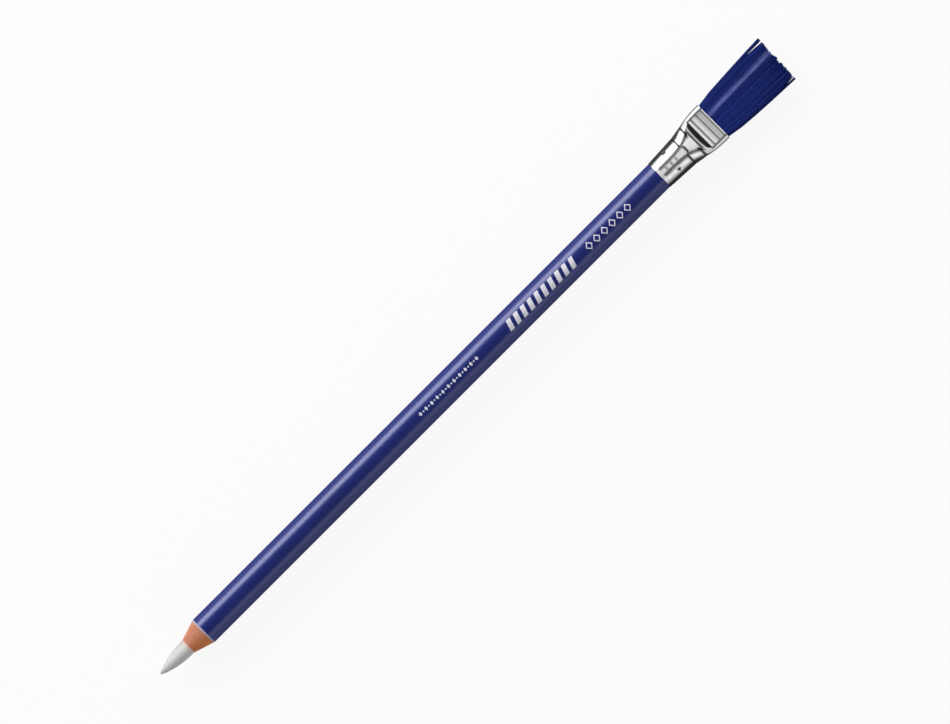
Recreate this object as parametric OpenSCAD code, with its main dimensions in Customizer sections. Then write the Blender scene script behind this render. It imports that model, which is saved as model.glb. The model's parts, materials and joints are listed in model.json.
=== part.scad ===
// Eraser pencil: a round wooden pencil with an eraser core, sharpened at one end,
// and a flat brush held in a pressed metal ferrule at the other.
// The pencil lies along X with the brush towards +X and the wide face of the brush level.

/* [Barrel] */
// Diameter over the lacquer
barrel_d = 7.3; // [6:0.1:9]
// Length of lacquered barrel between the sharpened wood and the ferrule
barrel_len = 150.2; // [90:0.1:190]
// Thickness of the lacquer
coat_t = 0.16; // [0.1:0.01:0.22]
// Angle between the sharpened cone and the pencil's axis
sharpen_angle = 17.2; // [13:0.1:21]

/* [Eraser core] */
// Diameter of the eraser core
core_d = 3.96; // [3:0.02:4.8]
// Length of the rounded eraser that stands out of the wood
core_exposed = 9; // [6:0.1:11]
// Length of the exposed eraser that is still straight, next to the wood
core_straight = 0.8; // [0.3:0.1:2]
// How blunt the eraser's tip is: 0 would be a sharp point
core_bluntness = 0.6; // [0.2:0.1:1.2]
// Gap between the core and its groove, which the glue fills
core_gap = 0.02; // [0.01:0.01:0.05]

/* [Ferrule] */
// Thickness of the sheet that the ferrule is pressed from
sheet_t = 0.25; // [0.2:0.01:0.3]
// How far the wood under the lacquer is turned down to enter the ferrule
tenon_step = 0.01; // [0.01:0.01:0.2]
// Gap between the turned wood and the ferrule
tenon_gap = 0.04; // [0.02:0.01:0.08]
// Length of ferrule that grips the wood
grip_len = 8.6; // [6.8:0.1:10.2]
// How much the ferrule has spread on each side at the end of the wood
grip_swell = 0.4; // [0.2:0.05:0.6]
// Width of the flat pressed along the grip, at its narrow end
flat_w_start = 1.7; // [1.3:0.1:2.1]
// Width of the same flat at the end of the wood
flat_w_end = 2.6; // [2.1:0.1:3.2]
// Length of the slope from the round grip towards the flat mouth
slope_len = 3.1; // [2.8:0.1:4.2]
// Width between the corners near the foot of that slope, where the two rails begin
corner_w = 4.7; // [3.8:0.1:5.2]
// Height of the foot of that slope above the middle plane
shoulder_h = 2.3; // [1.9:0.05:2.6]
// Width of the ferrule across its pressed end
mouth_w = 10.65; // [9.6:0.05:12.8]
// Thickness over the two side rails at the mouth
mouth_t = 3.1; // [2.9:0.05:3.4]
// Width of each rounded side rail
rail_w = 1.15; // [0.95:0.05:1.35]
// Length of the pressed panel, from the step to the lip
panel_len = 4; // [3.4:0.1:4.8]
// Length of the plain band between the step and the panel's first rib
band_len = 0.8; // [0.7:0.05:1.2]
// Thickness over the two pressed panels
panel_t = 2.6; // [2.5:0.02:2.8]
// Distance of the four staking dimples from the open edge
dimple_at = 4.3; // [3.5:0.1:5]
// Radius of a staking dimple
dimple_r = 0.6; // [0.5:0.02:0.75]
// Depth of a staking dimple
dimple_depth = 0.34; // [0.25:0.01:0.4]

/* [Brush] */
// Length of bristle beyond the ferrule
bristle_len = 21.1; // [12:0.1:26]
// Diameter of one bristle
bristle_d = 0.3; // [0.24:0.01:0.4]
// Least gap between two bristles, at their roots
bristle_gap = 0.03; // [0.02:0.01:0.08]
// Width of the brush across its tips
fan_w = 12.4; // [11:0.1:15]
// Width over the two stray bristles that stand off the brush's edges
stray_w = 13.1; // [13:0.1:17]
// Thickness of the brush across its tips
fan_t = 2.5; // [2:0.1:3.2]
// Most that one bristle is shorter than its neighbours
trim_spread = 0.7; // [0:0.1:1.2]
// How much shorter the brush is trimmed on one edge than on the other
trim_slant = 0.5; // [0:0.1:1.2]
// Gap between the bristles and the cement, and between the cement and the ferrule
bond_gap = 0.01; // [0.01:0.005:0.02]

/* [Hidden] */
$fn = 96;

// Radii along the pencil, from its axis
barrel_r = barrel_d / 2;
core_r = core_d / 2;
groove_r = core_r + core_gap;
wood_r = barrel_r - coat_t;
tenon_r = wood_r - tenon_step;
grip_r = tenon_r + tenon_gap + sheet_t;

// Places along the pencil, measured from the eraser's tip
slope_of_cone = tan(sharpen_angle);
cone_at = core_exposed;
paint_at = cone_at + (barrel_r - core_r) / slope_of_cone;
ferrule_at = paint_at + barrel_len;
tenon_short = 0.5;
tenon_end = ferrule_at + grip_len - tenon_short;

// Places along the ferrule, measured from its open edge
rim_len = 0.5;
rim_blend = 0.5;
corner_back = 0.6;
shoulder_len = 0.6;
step_len = 1;
rise_len = 0.55;
lip_len = 0.5;
shoulder_at = grip_len + slope_len;
corner_at = shoulder_at - corner_back;
step_at = shoulder_at + shoulder_len;
panel_at = step_at + step_len;
ribs_at = panel_at + band_len;
lip_at = panel_at + panel_len;
mouth_at = lip_at + lip_len;

// Heights above the middle plane, either side of the step
shoulder_fall = 0.2;
step_top = shoulder_h - shoulder_fall;
groove_depth = 0.1;
step_foot = panel_t / 2 - groove_depth;
lip_flare = 0.06;

// Widths from the axis plane
panel_half = mouth_w / 2 - rail_w;
rail_wall = 0.16;
full_width_before_lip = 1;
spread_power = 1.15;

// Least width of a rail where the ferrule is still widening: the panel's edge stays this far inside
rail_least = 0.9;

// How late the flat widens along the grip, and then along the slope
flare_power = 4;
crease_power = 1.7;

// How far the curved lines of the ferrule bow along it, and how far along the first one is felt
grip_bow = 0.68;
grip_bow_reach = 3.2;
step_bow_power = 2.5;

// The lines that the press leaves in the sheet
line_depth = 0.06;
line_half = 0.22;
fold_half = 0.32;

// The staking dimples are four in a ring, turned a little from the diagonals.
// The sheet bends in from a little beyond each dimple's own radius.
dimple_turn = 38;
dimple_reach = 1.2 * dimple_r;

// Columns of the skin in each quarter: over the flat, then down the side, where they crowd at the dimple
flat_cols = 4;
near_cols = 2;
dimple_cols = 8;
far_cols = 6;
side_cols = near_cols + dimple_cols + far_cols;
quarter_cols = flat_cols + side_cols;
ring_cols = 4 * quarter_cols;
dimple_band = dimple_reach + 0.12;
dimple_band_turn = dimple_band / grip_r * 180 / PI;

// Brush: the block of cement starts a little before the panel, with the bristle ends inside it
cement_lead = 0.4;
cement_len = 1.5;
root_cover = 0.2;
cement_at = panel_at - cement_lead;
cement_end = cement_at + cement_len;
root_at = cement_at + root_cover;
tips_at = mouth_at + bristle_len;
cement_wall = 0.04;
bristle_r = bristle_d / 2;
corner_r = 0.6;

// ---------- small functions ----------

function mix(a, b, t) = a + (b - a) * t;
function clamp01(t) = min(max(t, 0), 1);
// Goes from 0 to 1 as s goes from a to b, with level ends
function ramp(a, b, s) = let (t = clamp01((s - a) / (b - a))) t * t * (3 - 2 * t);
// A rounded hump of height 1 at the middle, which is 0 a half-width away
function hump(middle, half, s) = let (t = abs(s - middle) / half) t < 1 ? (1 - t * t) ^ 2 : 0;
// A repeatable value from 0 to 1 for whole number n
function scatter(n) = let (v = sin(n * 127.1 + 31.7) * 437.585) v - floor(v);

// ---------- ferrule outline ----------

// Half the ferrule's width at s
function half_width(s) =
    let (spread = clamp01((s - grip_len) / (lip_at - full_width_before_lip - grip_len)))
    s < grip_len
        ? grip_r + grip_swell * s / grip_len
        : mix(grip_r + grip_swell, mouth_w / 2, sin(90 * spread) ^ spread_power);

// Distance from the axis to the grip's oval, inset from its outer face, at an angle of turn from the height
function oval_r(s, turn, inset) =
    1 / norm([cos(turn) / (grip_r - inset), sin(turn) / (half_width(s) - inset)]);

// Half the width of the flat, from the axis plane to the crease or rail beside it
function flat_half(s) =
    s < grip_len
        ? mix(flat_w_start, flat_w_end, (s / grip_len) ^ flare_power) / 2
        : s < corner_at
            ? mix(flat_w_end, corner_w, ((s - grip_len) / (corner_at - grip_len)) ^ crease_power) / 2
            : min(half_width(s) - rail_least,
                  mix(corner_w / 2, panel_half, sin(90 * clamp01((s - corner_at) / (panel_at - corner_at)))));

// Height of a true ellipse through the grip, at a distance y from the axis plane
function grip_height(s, y) = grip_r * sqrt(max(0, 1 - (y / half_width(s)) ^ 2));

// Height of the flat above the middle plane, without the press lines
function flat_height(s) =
    let (on_grip = min(s, grip_len),
         grip_h = grip_height(on_grip, flat_half(on_grip)))
    s < grip_len ? grip_h
    : s < shoulder_at ? mix(grip_h, shoulder_h, (s - grip_len) / slope_len)
    : s < step_at ? mix(shoulder_h, step_top, (s - shoulder_at) / shoulder_len)
    : s < panel_at ? mix(step_top, step_foot, (s - step_at) / step_len)
    : mix(step_foot, panel_t / 2, ramp(panel_at, panel_at + rise_len, s))
      + lip_flare * ramp(lip_at, mouth_at, s);

// Height of the rail's top beside the flat
function rail_height(s) =
    s < corner_at
        ? flat_height(s)
        : mix(flat_height(corner_at), mouth_t / 2, ramp(corner_at, panel_at + rise_len, s));

// Depth of the two shallow hollows across the panel, between three fine ridges
rib_len = (panel_len - band_len) / 2;
function rib_depth(s) =
    let (along = (s - ribs_at) / rib_len)
    along < 0 || along > 2 ? 0 : groove_depth * (1 - sin(180 * (along - floor(along))));

// Direction of side column i: crowded at the dimple on the grip, and evenly spaced beyond it
function side_turn(s, i, start) =
    let (from = dimple_turn - dimple_band_turn,
         to = dimple_turn + dimple_band_turn,
         crowded = i < near_cols ? mix(start, from, i / near_cols)
             : i < near_cols + dimple_cols ? mix(from, to, (i - near_cols) / dimple_cols)
             : mix(to, 90, (i - near_cols - dimple_cols) / far_cols))
    mix(crowded, mix(start, 90, i / side_cols), ramp(dimple_at + dimple_band, grip_len, s));

// One quarter of the section at s, inset from the outer face, as [height, width]:
// column i runs over the flat from its middle, and then down the side
function quarter(s, i, inset) =
    let (flat = flat_half(s),
         side = half_width(s),
         start = asin(flat / side),
         squared = ramp(grip_len, panel_at, s))
    i <= flat_cols
        ? let (y = flat * i / flat_cols,
               fine = inset > 0 ? 0 : 1,
               pressed = ramp(rim_len, rim_len + rim_blend, s),
               crease = i == flat_cols ? line_depth * pressed * (1 - squared) : 0,
               top = mix(grip_height(s, y), flat_height(s), pressed))
          [top - inset - fine * (crease + rib_depth(s)),
           mix((side - inset) * sin(start), flat, squared) * i / flat_cols]
        : let (turn = side_turn(s, i - flat_cols, start),
               tall = flat_height(s) / cos(start),
               corner = 90 * (i - flat_cols - 1) / (side_cols - 1))
          mix([(tall - inset) * cos(turn), (side - inset) * sin(turn)],
              [(rail_height(s) - inset) * cos(corner),
               mix(flat + rail_wall + inset, side - inset, sin(corner))],
              squared);

// The whole section at s, as points [height, width]
function section(s, inset) =
    [for (k = [0 : ring_cols - 1])
        let (q = floor(k / quarter_cols),
             i = k % quarter_cols,
             p = quarter(s, q % 2 == 0 ? i : quarter_cols - i, inset))
        [p[0] * (q == 0 || q == 3 ? 1 : -1), p[1] * (q < 2 ? 1 : -1)]];

// How far a dimple presses in a point of the section
function dimpled(s, p) =
    let (angle = atan2(p[1], p[0]),
         nearest = (angle - dimple_turn + 765) % 90 - 45,
         away = norm([s - dimple_at, norm(p) * nearest * PI / 180]))
    dimple_depth * hump(0, dimple_reach, away);

// How deep the lines round and across the ferrule are, at a distance y from the axis plane
function lined(s, y) =
    let (on_side = ramp(0.8, 1, abs(y) / flat_half(s)))
    line_depth * (hump(rim_len, line_half, s) + hump(grip_len, fold_half, s)
                  + on_side * hump(corner_at, fold_half, s)
                  + (1 - on_side) * hump(shoulder_at, line_half, s));

// The step bows along the ferrule by a share of the rail beside it, over which the bow fades out
step_edge = flat_half(panel_at);
bow_share = 0.58;
step_bow = bow_share * (half_width(panel_at) - step_edge);

// How far a point moves along the ferrule, so that the press lines bow
function bow(s, y) =
    let (into_step = s < step_at
             ? ramp(corner_at, step_at, s)
             : 1 - clamp01((s - step_at) / step_len))
    - grip_bow * hump(grip_len, grip_bow_reach, s) * min(1, (y / (flat_w_end / 2)) ^ 2)
    + step_bow * into_step * min(1, abs(y / step_edge) ^ step_bow_power)
      * (1 - ramp(step_edge, half_width(s), abs(y)));

// How much nearer the open edge the inner face of the step lies, so that the step keeps its thickness
function step_back(s) = 0.6 * sheet_t * ramp(corner_at, step_at, s) * (1 - ramp(panel_at, ribs_at, s));

// One ring of the skin in space: [height, width, along]
function skin_ring(s, inset) =
    [for (p = section(s, inset))
        let (pressed = dimpled(s, p) + (inset > 0 ? 0 : lined(s, p[1])),
             q = p * (1 - pressed / norm(p)))
        [q[0], q[1], s + bow(s, p[1]) - (inset > 0 ? step_back(s) : 0)]];

// Evenly spaced places from a to b, with b left out
function places(a, b, count) = [for (i = [0 : count - 1]) mix(a, b, i / count)];

outer_places = concat(
    [0],
    places(rim_len - line_half, rim_len + line_half, 2),
    places(rim_len + line_half, dimple_at - dimple_band, 3),
    places(dimple_at - dimple_band, dimple_at + dimple_band, 8),
    places(dimple_at + dimple_band, grip_len - fold_half, 2),
    places(grip_len - fold_half, grip_len + fold_half, 4),
    places(grip_len + fold_half, corner_at - fold_half, 3),
    places(corner_at - fold_half, corner_at + fold_half, 4),
    places(corner_at + fold_half, shoulder_at - line_half, 1),
    places(shoulder_at - line_half, shoulder_at + line_half, 2),
    places(shoulder_at + line_half, step_at, 2),
    places(step_at, panel_at, 6),
    places(panel_at, ribs_at, 5),
    places(ribs_at, lip_at, 8),
    places(lip_at, mouth_at, 2),
    [mouth_at]);

inner_places = concat(
    places(0, dimple_at - dimple_band, 2),
    places(dimple_at - dimple_band, dimple_at + dimple_band, 6),
    places(dimple_at + dimple_band, grip_len, 1),
    places(grip_len, corner_at, 2),
    places(corner_at, step_at, 3),
    places(step_at, panel_at, 4),
    places(panel_at, ribs_at, 3),
    [lip_at, mouth_at]);

// ---------- ferrule skin ----------

// Two triangles between column k of ring a and column k of ring b
function cell(a, b, k) =
    let (n = (k + 1) % ring_cols)
    [[a + k, b + n, a + n], [a + k, b + k, b + n]];

module closed_skin(outer, inner) {
    rings_out = len(outer);
    rings_in = len(inner);
    inner_start = rings_out * ring_cols;
    points = [for (ring = concat(outer, inner)) each ring];
    outside = [for (r = [0 : rings_out - 2], k = [0 : ring_cols - 1])
        each cell(r * ring_cols, (r + 1) * ring_cols, k)];
    inside = [for (r = [0 : rings_in - 2], k = [0 : ring_cols - 1])
        each cell(inner_start + (r + 1) * ring_cols, inner_start + r * ring_cols, k)];
    open_edge = [for (k = [0 : ring_cols - 1]) each cell(inner_start, 0, k)];
    mouth_edge = [for (k = [0 : ring_cols - 1])
        each cell((rings_out - 1) * ring_cols, inner_start + (rings_in - 1) * ring_cols, k)];
    polyhedron(points, concat(outside, inside, open_edge, mouth_edge), convexity = 8);
}

// ---------- brush layout ----------

// Room inside the ferrule for the centres of the outer bristles, at the mouth and at the pinch
mouth_room = half_width(mouth_at) - sheet_t - bristle_gap - bristle_r;
pinch_room = step_foot - sheet_t - bristle_gap - bristle_r;
cement_room = half_width(cement_at) - sheet_t - 2 * bond_gap - cement_wall - bristle_r;

// Half widths over bristle centres: at the tips, and at the roots so that they clear the mouth
function root_half(tip_half) =
    min(cement_room, mouth_room - (tip_half - mouth_room) / bristle_len * (mouth_at - root_at));
fan_half = fan_w / 2 - bristle_r;
stray_half = stray_w / 2 - bristle_r;
root_room = root_half(fan_half);
stray_room = root_half(stray_half);
fan_slope = (fan_half - root_room) / (tips_at - root_at);

// Rows of bristles, one above another: as many as pass the pinch, with room for their fan
row_pitch = bristle_d + bristle_gap;
fan_allowance = 1.08;
rows = 2 * floor(pinch_room / row_pitch / fan_allowance) + 1;
middle_row = (rows - 1) / 2;
top_row_at = middle_row * row_pitch;
row_spread = (fan_t / 2 - bristle_r) / top_row_at;

// Half the width of row r at the roots: the outer rows are shorter, because the brush is round-edged
function row_half(r) =
    let (into_corner = max(0, abs(r - middle_row) * row_pitch - (top_row_at - corner_r)))
    r == middle_row ? stray_room
    : root_room - corner_r + sqrt(max(0, corner_r ^ 2 - into_corner ^ 2));
function row_count(r) = floor(2 * row_half(r) / row_pitch) + 1;

// Each bristle as [root point, tip point], in [height, width, along]
bristle_ends = [
    for (r = [0 : rows - 1], c = [0 : row_count(r) - 1])
        let (count = row_count(r),
             across = 2 * c / (count - 1) - 1,
             high = (r - middle_row) * row_pitch,
             wide = across * row_half(r),
             stray = r == middle_row && (c == 0 || c == count - 1),
             short = trim_spread * scatter(r * 61 + c) ^ 2 + trim_slant * (1 + across) / 2,
             root = [high, wide, root_at],
             tip_wide = stray ? sign(across) * stray_half : wide * fan_half / root_room,
             tip = [high * row_spread, tip_wide, tips_at],
             reach = (tips_at - root_at - (stray ? 0 : short)) / (tips_at - root_at))
        [root, mix(root, tip, reach)]];

module rod(from, to, r) {
    d = to - from;
    translate(from)
        rotate([0, acos(d[2] / norm(d)), atan2(d[1], d[0])])
            cylinder(h = norm(d), r = r, $fn = 16);
}

// ---------- pieces, standing on the eraser's tip ----------

// Lays a piece down along X, with the pencil's middle over the origin
rest_height = max(barrel_r, grip_r);
whole_len = ferrule_at + tips_at;
module laid() {
    translate([-whole_len / 2, 0, rest_height])
        rotate([0, 90, 0])
            children();
}

module eraser_core() {
    nose_steps = 24;
    nose_len = core_exposed - core_straight;
    function past_tip(along) = sqrt(along ^ 2 + 2 * core_bluntness * along);
    nose = [for (i = [0 : nose_steps])
        let (along = nose_len * (1 - cos(90 * i / nose_steps)))
        [core_r * (1 - (1 - past_tip(along) / past_tip(nose_len)) ^ 2), along]];
    color("gainsboro")
        laid()
            rotate_extrude()
                polygon(concat(nose, [[core_r, tenon_end], [0, tenon_end]]));
}

// The two glued slats together: sharpened, bored for the core and turned down for the ferrule
module casing() {
    wood_at = cone_at + core_gap / slope_of_cone;
    full_at = paint_at - coat_t / slope_of_cone;
    difference() {
        rotate_extrude()
            polygon([[groove_r, wood_at], [wood_r, full_at], [wood_r, ferrule_at],
                     [tenon_r, ferrule_at], [tenon_r, tenon_end], [groove_r, tenon_end]]);
        for (side = [0, 180])
            rotate([0, 0, side])
                tenon_flat();
        for (turn = [dimple_turn : 90 : dimple_turn + 270])
            rotate([0, 0, turn])
                dimple_seat(oval_r(dimple_at, turn, sheet_t));
    }
}

// What the ferrule's pressed flat takes off the tenon
module tenon_flat() {
    flat_from = rim_len + rim_blend;
    tilt = (flat_height(grip_len) - flat_height(flat_from)) / (grip_len - flat_from);
    height = flat_height(flat_from) - tilt * rim_blend - sheet_t - tenon_gap;
    translate([height, -barrel_r, ferrule_at + rim_len])
        rotate([0, atan(tilt), 0])
            cube([barrel_r, 2 * barrel_r, grip_len]);
}

// The dent that a staking dimple leaves in the wood, under a sheet whose inner face is at face
module dimple_seat(face) {
    dent_depth = dimple_depth + tenon_gap;
    ball_r = (dimple_reach ^ 2 + dent_depth ^ 2) / (2 * dent_depth);
    translate([face - dent_depth + ball_r, 0, ferrule_at + dimple_at])
        sphere(r = ball_r);
}

// One slat: the half of the casing above or below the glue line
module slat(above) {
    laid()
        intersection() {
            casing();
            translate([above ? -barrel_d : 0, -barrel_d, 0])
                cube([barrel_d, 2 * barrel_d, tenon_end + 1]);
        }
}

module casing_upper() {
    color("peru") slat(true);
}

module casing_lower() {
    color("peru") slat(false);
}

module lacquer_coat() {
    color("midnightblue")
        laid()
            rotate_extrude()
                polygon([[wood_r, paint_at - coat_t / slope_of_cone], [barrel_r, paint_at],
                         [barrel_r, ferrule_at], [wood_r, ferrule_at]]);
}

module ferrule() {
    color("silver")
        laid()
            translate([0, 0, ferrule_at])
                closed_skin([for (s = outer_places) skin_ring(s, 0)],
                            [for (s = inner_places) skin_ring(s, sheet_t)]);
}

module bristles() {
    color("midnightblue")
        laid()
            translate([0, 0, ferrule_at])
                for (ends = bristle_ends)
                    rod(ends[0], ends[1], bristle_r);
}

// The block of cement that the bristle roots are set in, pinched by the ferrule's step
module root_cement() {
    half_t = step_foot - sheet_t - 2 * bond_gap;
    function half_w(s) = root_room + bristle_r + cement_wall + fan_slope * (s - root_at);
    color("darkkhaki")
        laid()
            translate([0, 0, ferrule_at])
                difference() {
                    intersection() {
                        rotate([0, -90, 0])
                            linear_extrude(height = 2 * half_t, center = true)
                                polygon([[cement_at, -half_w(cement_at)], [cement_end, -half_w(cement_end)],
                                         [cement_end, half_w(cement_end)], [cement_at, half_w(cement_at)]]);
                        translate([0, 0, cement_at])
                            linear_extrude(height = cement_end - cement_at)
                                stadium(half_t, half_w(cement_end));
                    }
                    for (ends = bristle_ends)
                        rod(ends[0], ends[1], bristle_r + bond_gap);
                }
}

// A slot-shaped outline, thin along X and wide along Y
module stadium(half_t, half_w) {
    square([2 * half_t, 2 * (half_w - half_t)], center = true);
    for (side = [-1, 1])
        translate([0, side * (half_w - half_t)])
            circle(r = half_t);
}

eraser_core();
casing_upper();
casing_lower();
lacquer_coat();
ferrule();
bristles();
root_cement();
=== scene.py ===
"""Looks for the eraser pencil: its finishes, pressed ferrule, brush, foil marks and studio.

Sizes are in millimetres until a mesh is finished, and metres after that. The pencil lies along X,
with the brush towards +X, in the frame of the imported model.
"""

from __future__ import annotations

import enum
import json
import logging
import math
import random
from dataclasses import dataclass, field
from typing import Any, Iterable, Sequence

import bmesh
import bpy
from mathutils import Matrix, Vector

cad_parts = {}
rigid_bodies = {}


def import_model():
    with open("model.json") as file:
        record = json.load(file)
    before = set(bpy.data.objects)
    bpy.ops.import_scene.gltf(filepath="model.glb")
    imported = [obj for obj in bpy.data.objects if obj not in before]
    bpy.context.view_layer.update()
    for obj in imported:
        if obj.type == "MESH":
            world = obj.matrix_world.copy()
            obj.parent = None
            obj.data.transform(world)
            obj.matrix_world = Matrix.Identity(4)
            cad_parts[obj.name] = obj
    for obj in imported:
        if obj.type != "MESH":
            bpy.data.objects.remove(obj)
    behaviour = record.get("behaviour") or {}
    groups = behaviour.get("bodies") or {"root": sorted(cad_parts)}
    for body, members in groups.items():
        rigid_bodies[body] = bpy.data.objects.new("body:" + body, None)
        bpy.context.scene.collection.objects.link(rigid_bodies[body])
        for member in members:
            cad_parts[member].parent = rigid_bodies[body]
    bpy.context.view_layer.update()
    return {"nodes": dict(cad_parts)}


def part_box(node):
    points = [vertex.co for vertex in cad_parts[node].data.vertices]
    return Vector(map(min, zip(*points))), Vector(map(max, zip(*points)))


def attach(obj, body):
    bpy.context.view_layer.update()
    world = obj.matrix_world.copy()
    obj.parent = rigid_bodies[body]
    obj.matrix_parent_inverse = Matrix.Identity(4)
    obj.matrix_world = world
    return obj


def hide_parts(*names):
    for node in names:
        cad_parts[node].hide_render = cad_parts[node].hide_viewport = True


log = logging.getLogger("eraser_pencil")

MM = 0.001

Colour = tuple[float, float, float]
Socket = bpy.types.NodeSocket
ShaderNode = bpy.types.Node
Value = float | Sequence[float] | Socket


# ---------- small sums ----------


def mix(a: float, b: float, t: float) -> float:
    """Return the value a share t of the way from a to b."""
    return a + (b - a) * t


def clamp01(t: float) -> float:
    """Return t held between 0 and 1."""
    return min(max(t, 0.0), 1.0)


def ramp(a: float, b: float, s: float) -> float:
    """Go from 0 to 1 as s goes from a to b, with level ends.

    Args:
        a: Where the ramp starts.
        b: Where the ramp ends.
        s: The place that is asked for.

    Returns:
        The height of the ramp at s.
    """
    t = clamp01((s - a) / (b - a))
    return t * t * (3 - 2 * t)


def hump(middle: float, half: float, s: float) -> float:
    """Rise to 1 at the middle and fall to 0 a half-width away.

    Args:
        middle: Where the hump is highest.
        half: Half its width.
        s: The place that is asked for.

    Returns:
        The height of the hump at s.
    """
    t = abs(s - middle) / half
    return (1 - t * t) ** 2 if t < 1 else 0.0


def plateau(rise: tuple[float, float], fall: tuple[float, float], s: float) -> float:
    """Go from 0 up to 1 over one stretch and back to 0 over another.

    Args:
        rise: Where the rise starts and ends.
        fall: Where the fall starts and ends.
        s: The place that is asked for.

    Returns:
        The height of the plateau at s.
    """
    return ramp(*rise, s) * (1 - ramp(*fall, s))


def quarter_sine(t: float) -> float:
    """Return the first quarter of a sine wave over t from 0 to 1."""
    return math.sin(math.pi / 2 * clamp01(t))


# ---------- places ----------


@dataclass(frozen=True)
class Places:
    """Stations of the pencil, in millimetres.

    Attributes:
        tip: The eraser's tip.
        wood: Where the sharpened wood starts.
        paint: Where the cut edge of the lacquer starts.
        ferrule: The ferrule's open edge on the barrel.
        mouth: The ferrule's mouth.
        roots: The inner ends of the bristles.
        brush_end: The ends of the longest bristles.
        axis: Height of the pencil's axis above the floor.
        barrel_r: Radius over the lacquer.
    """

    tip: float
    wood: float
    paint: float
    ferrule: float
    mouth: float
    roots: float
    brush_end: float
    axis: float
    barrel_r: float

    @classmethod
    def read(cls) -> "Places":
        """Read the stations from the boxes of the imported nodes.

        Returns:
            The stations of this pencil.
        """
        coat_low, coat_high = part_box("lacquer_coat")
        brush_low, brush_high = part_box("bristles")
        ferrule_low, ferrule_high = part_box("ferrule")
        return cls(
            tip=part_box("eraser_core")[0].x / MM,
            wood=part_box("casing_upper")[0].x / MM,
            paint=coat_low.x / MM,
            ferrule=ferrule_low.x / MM,
            mouth=ferrule_high.x / MM,
            roots=brush_low.x / MM,
            brush_end=brush_high.x / MM,
            axis=(coat_low.z + coat_high.z) / 2 / MM,
            barrel_r=(coat_high.y - coat_low.y) / 2 / MM,
        )


# ---------- shader wiring ----------


class Wiring:
    """Adds and joins the nodes of one node tree."""

    def __init__(self, tree: bpy.types.NodeTree) -> None:
        """Keep the tree that the nodes go into."""
        self.tree = tree

    def feed(self, socket: Socket, value: Value) -> None:
        """Link a socket to another, or set its plain value.

        Args:
            socket: The input to feed.
            value: The output to link to it, or the plain value.
        """
        if isinstance(value, Socket):
            self.tree.links.new(value, socket)
        else:
            socket.default_value = value

    def add(
        self, kind: str, sockets: dict[str | int, Value] | None = None, **settings: Any
    ) -> bpy.types.Node:
        """Add a node, change its settings and feed its sockets.

        Args:
            kind: The node's type, without its usual first part.
            sockets: What goes into each socket, by its identifier, name or number.
            **settings: The node's own settings.

        Returns:
            The new node.
        """
        node = self.tree.nodes.new("ShaderNode" + kind)
        for name, value in settings.items():
            setattr(node, name, value)
        for key, value in (sockets or {}).items():
            known = [s for s in node.inputs if s.identifier == key]
            self.feed(known[0] if known else node.inputs[key], value)
        return node

    def calc(self, operation: str, a: Value, b: Value = 0.0, c: Value = 0.0) -> Socket:
        """Return the result of one Math node on up to three values."""
        return self.add("Math", {0: a, 1: b, 2: c}, operation=operation).outputs[0]

    def span(
        self, value: Value, low: Value, high: Value, start: Value = 0.0, end: Value = 1.0,
        easing: str = "SMOOTHSTEP",
    ) -> Socket:
        """Turn a range of a value into another range.

        Args:
            value: What is turned.
            low: The value at which the result is start.
            high: The value at which the result is end.
            start: The first result.
            end: The last result.
            easing: How the result goes between them.

        Returns:
            The socket of the result.
        """
        sockets = {"Value": value, "From Min": low, "From Max": high}
        sockets |= {"To Min": start, "To Max": end}
        return self.add("MapRange", sockets, interpolation_type=easing).outputs["Result"]

    def blend(self, share: Value, a: Value, b: Value, mode: str = "MIX") -> Socket:
        """Mix two colours.

        Args:
            share: How much of b shows, from 0 to 1.
            a: One colour.
            b: The other.
            mode: How b goes over a.

        Returns:
            The mixed colour.
        """
        sockets = {"Factor_Float": share, "A_Color": a, "B_Color": b}
        node = self.add("Mix", sockets, data_type="RGBA", blend_type=mode)
        return next(s for s in node.outputs if s.identifier == "Result_Color")

    def scaled(
        self, vector: Value, factors: Sequence[float], turn: Sequence[float] = (0.0, 0.0, 0.0)
    ) -> Socket:
        """Return a vector stretched by three factors and turned by three angles."""
        sockets = {"Vector": vector, "Rotation": turn, "Scale": factors}
        return self.add("Mapping", sockets, vector_type="POINT").outputs[0]

    def part(self, vector: Value, axis: str) -> Socket:
        """Return one of the three parts of a vector, by its letter."""
        return self.add("SeparateXYZ", {0: vector}).outputs[axis]

    def noise(
        self, vector: Value, scale: Value, detail: float = 2.0, roughness: float = 0.5
    ) -> Socket:
        """Return a noise value from 0 to 1 over a vector."""
        sockets = {"Vector": vector, "Scale": scale, "Detail": detail, "Roughness": roughness}
        return self.add("TexNoise", sockets, noise_dimensions="3D").outputs[0]

    def stretched_noise(self, vector: Value, factors: Sequence[float], **kind: float) -> Socket:
        """Return a noise value over a vector stretched by three factors."""
        return self.noise(self.scaled(vector, factors), 1.0, **kind)

    def group(self, tree: bpy.types.NodeTree, sockets: dict[str, Value]) -> bpy.types.Node:
        """Place a shared group and feed its inputs.

        Args:
            tree: The group.
            sockets: What goes into each of its inputs, by name.

        Returns:
            The group's node.
        """
        node = self.tree.nodes.new("ShaderNodeGroup")
        node.node_tree = tree
        for name, value in sockets.items():
            self.feed(node.inputs[name], value)
        return node


def rgba(colour: Colour) -> tuple[float, float, float, float]:
    """Return a colour with full alpha."""
    return (*colour, 1.0)


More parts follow.
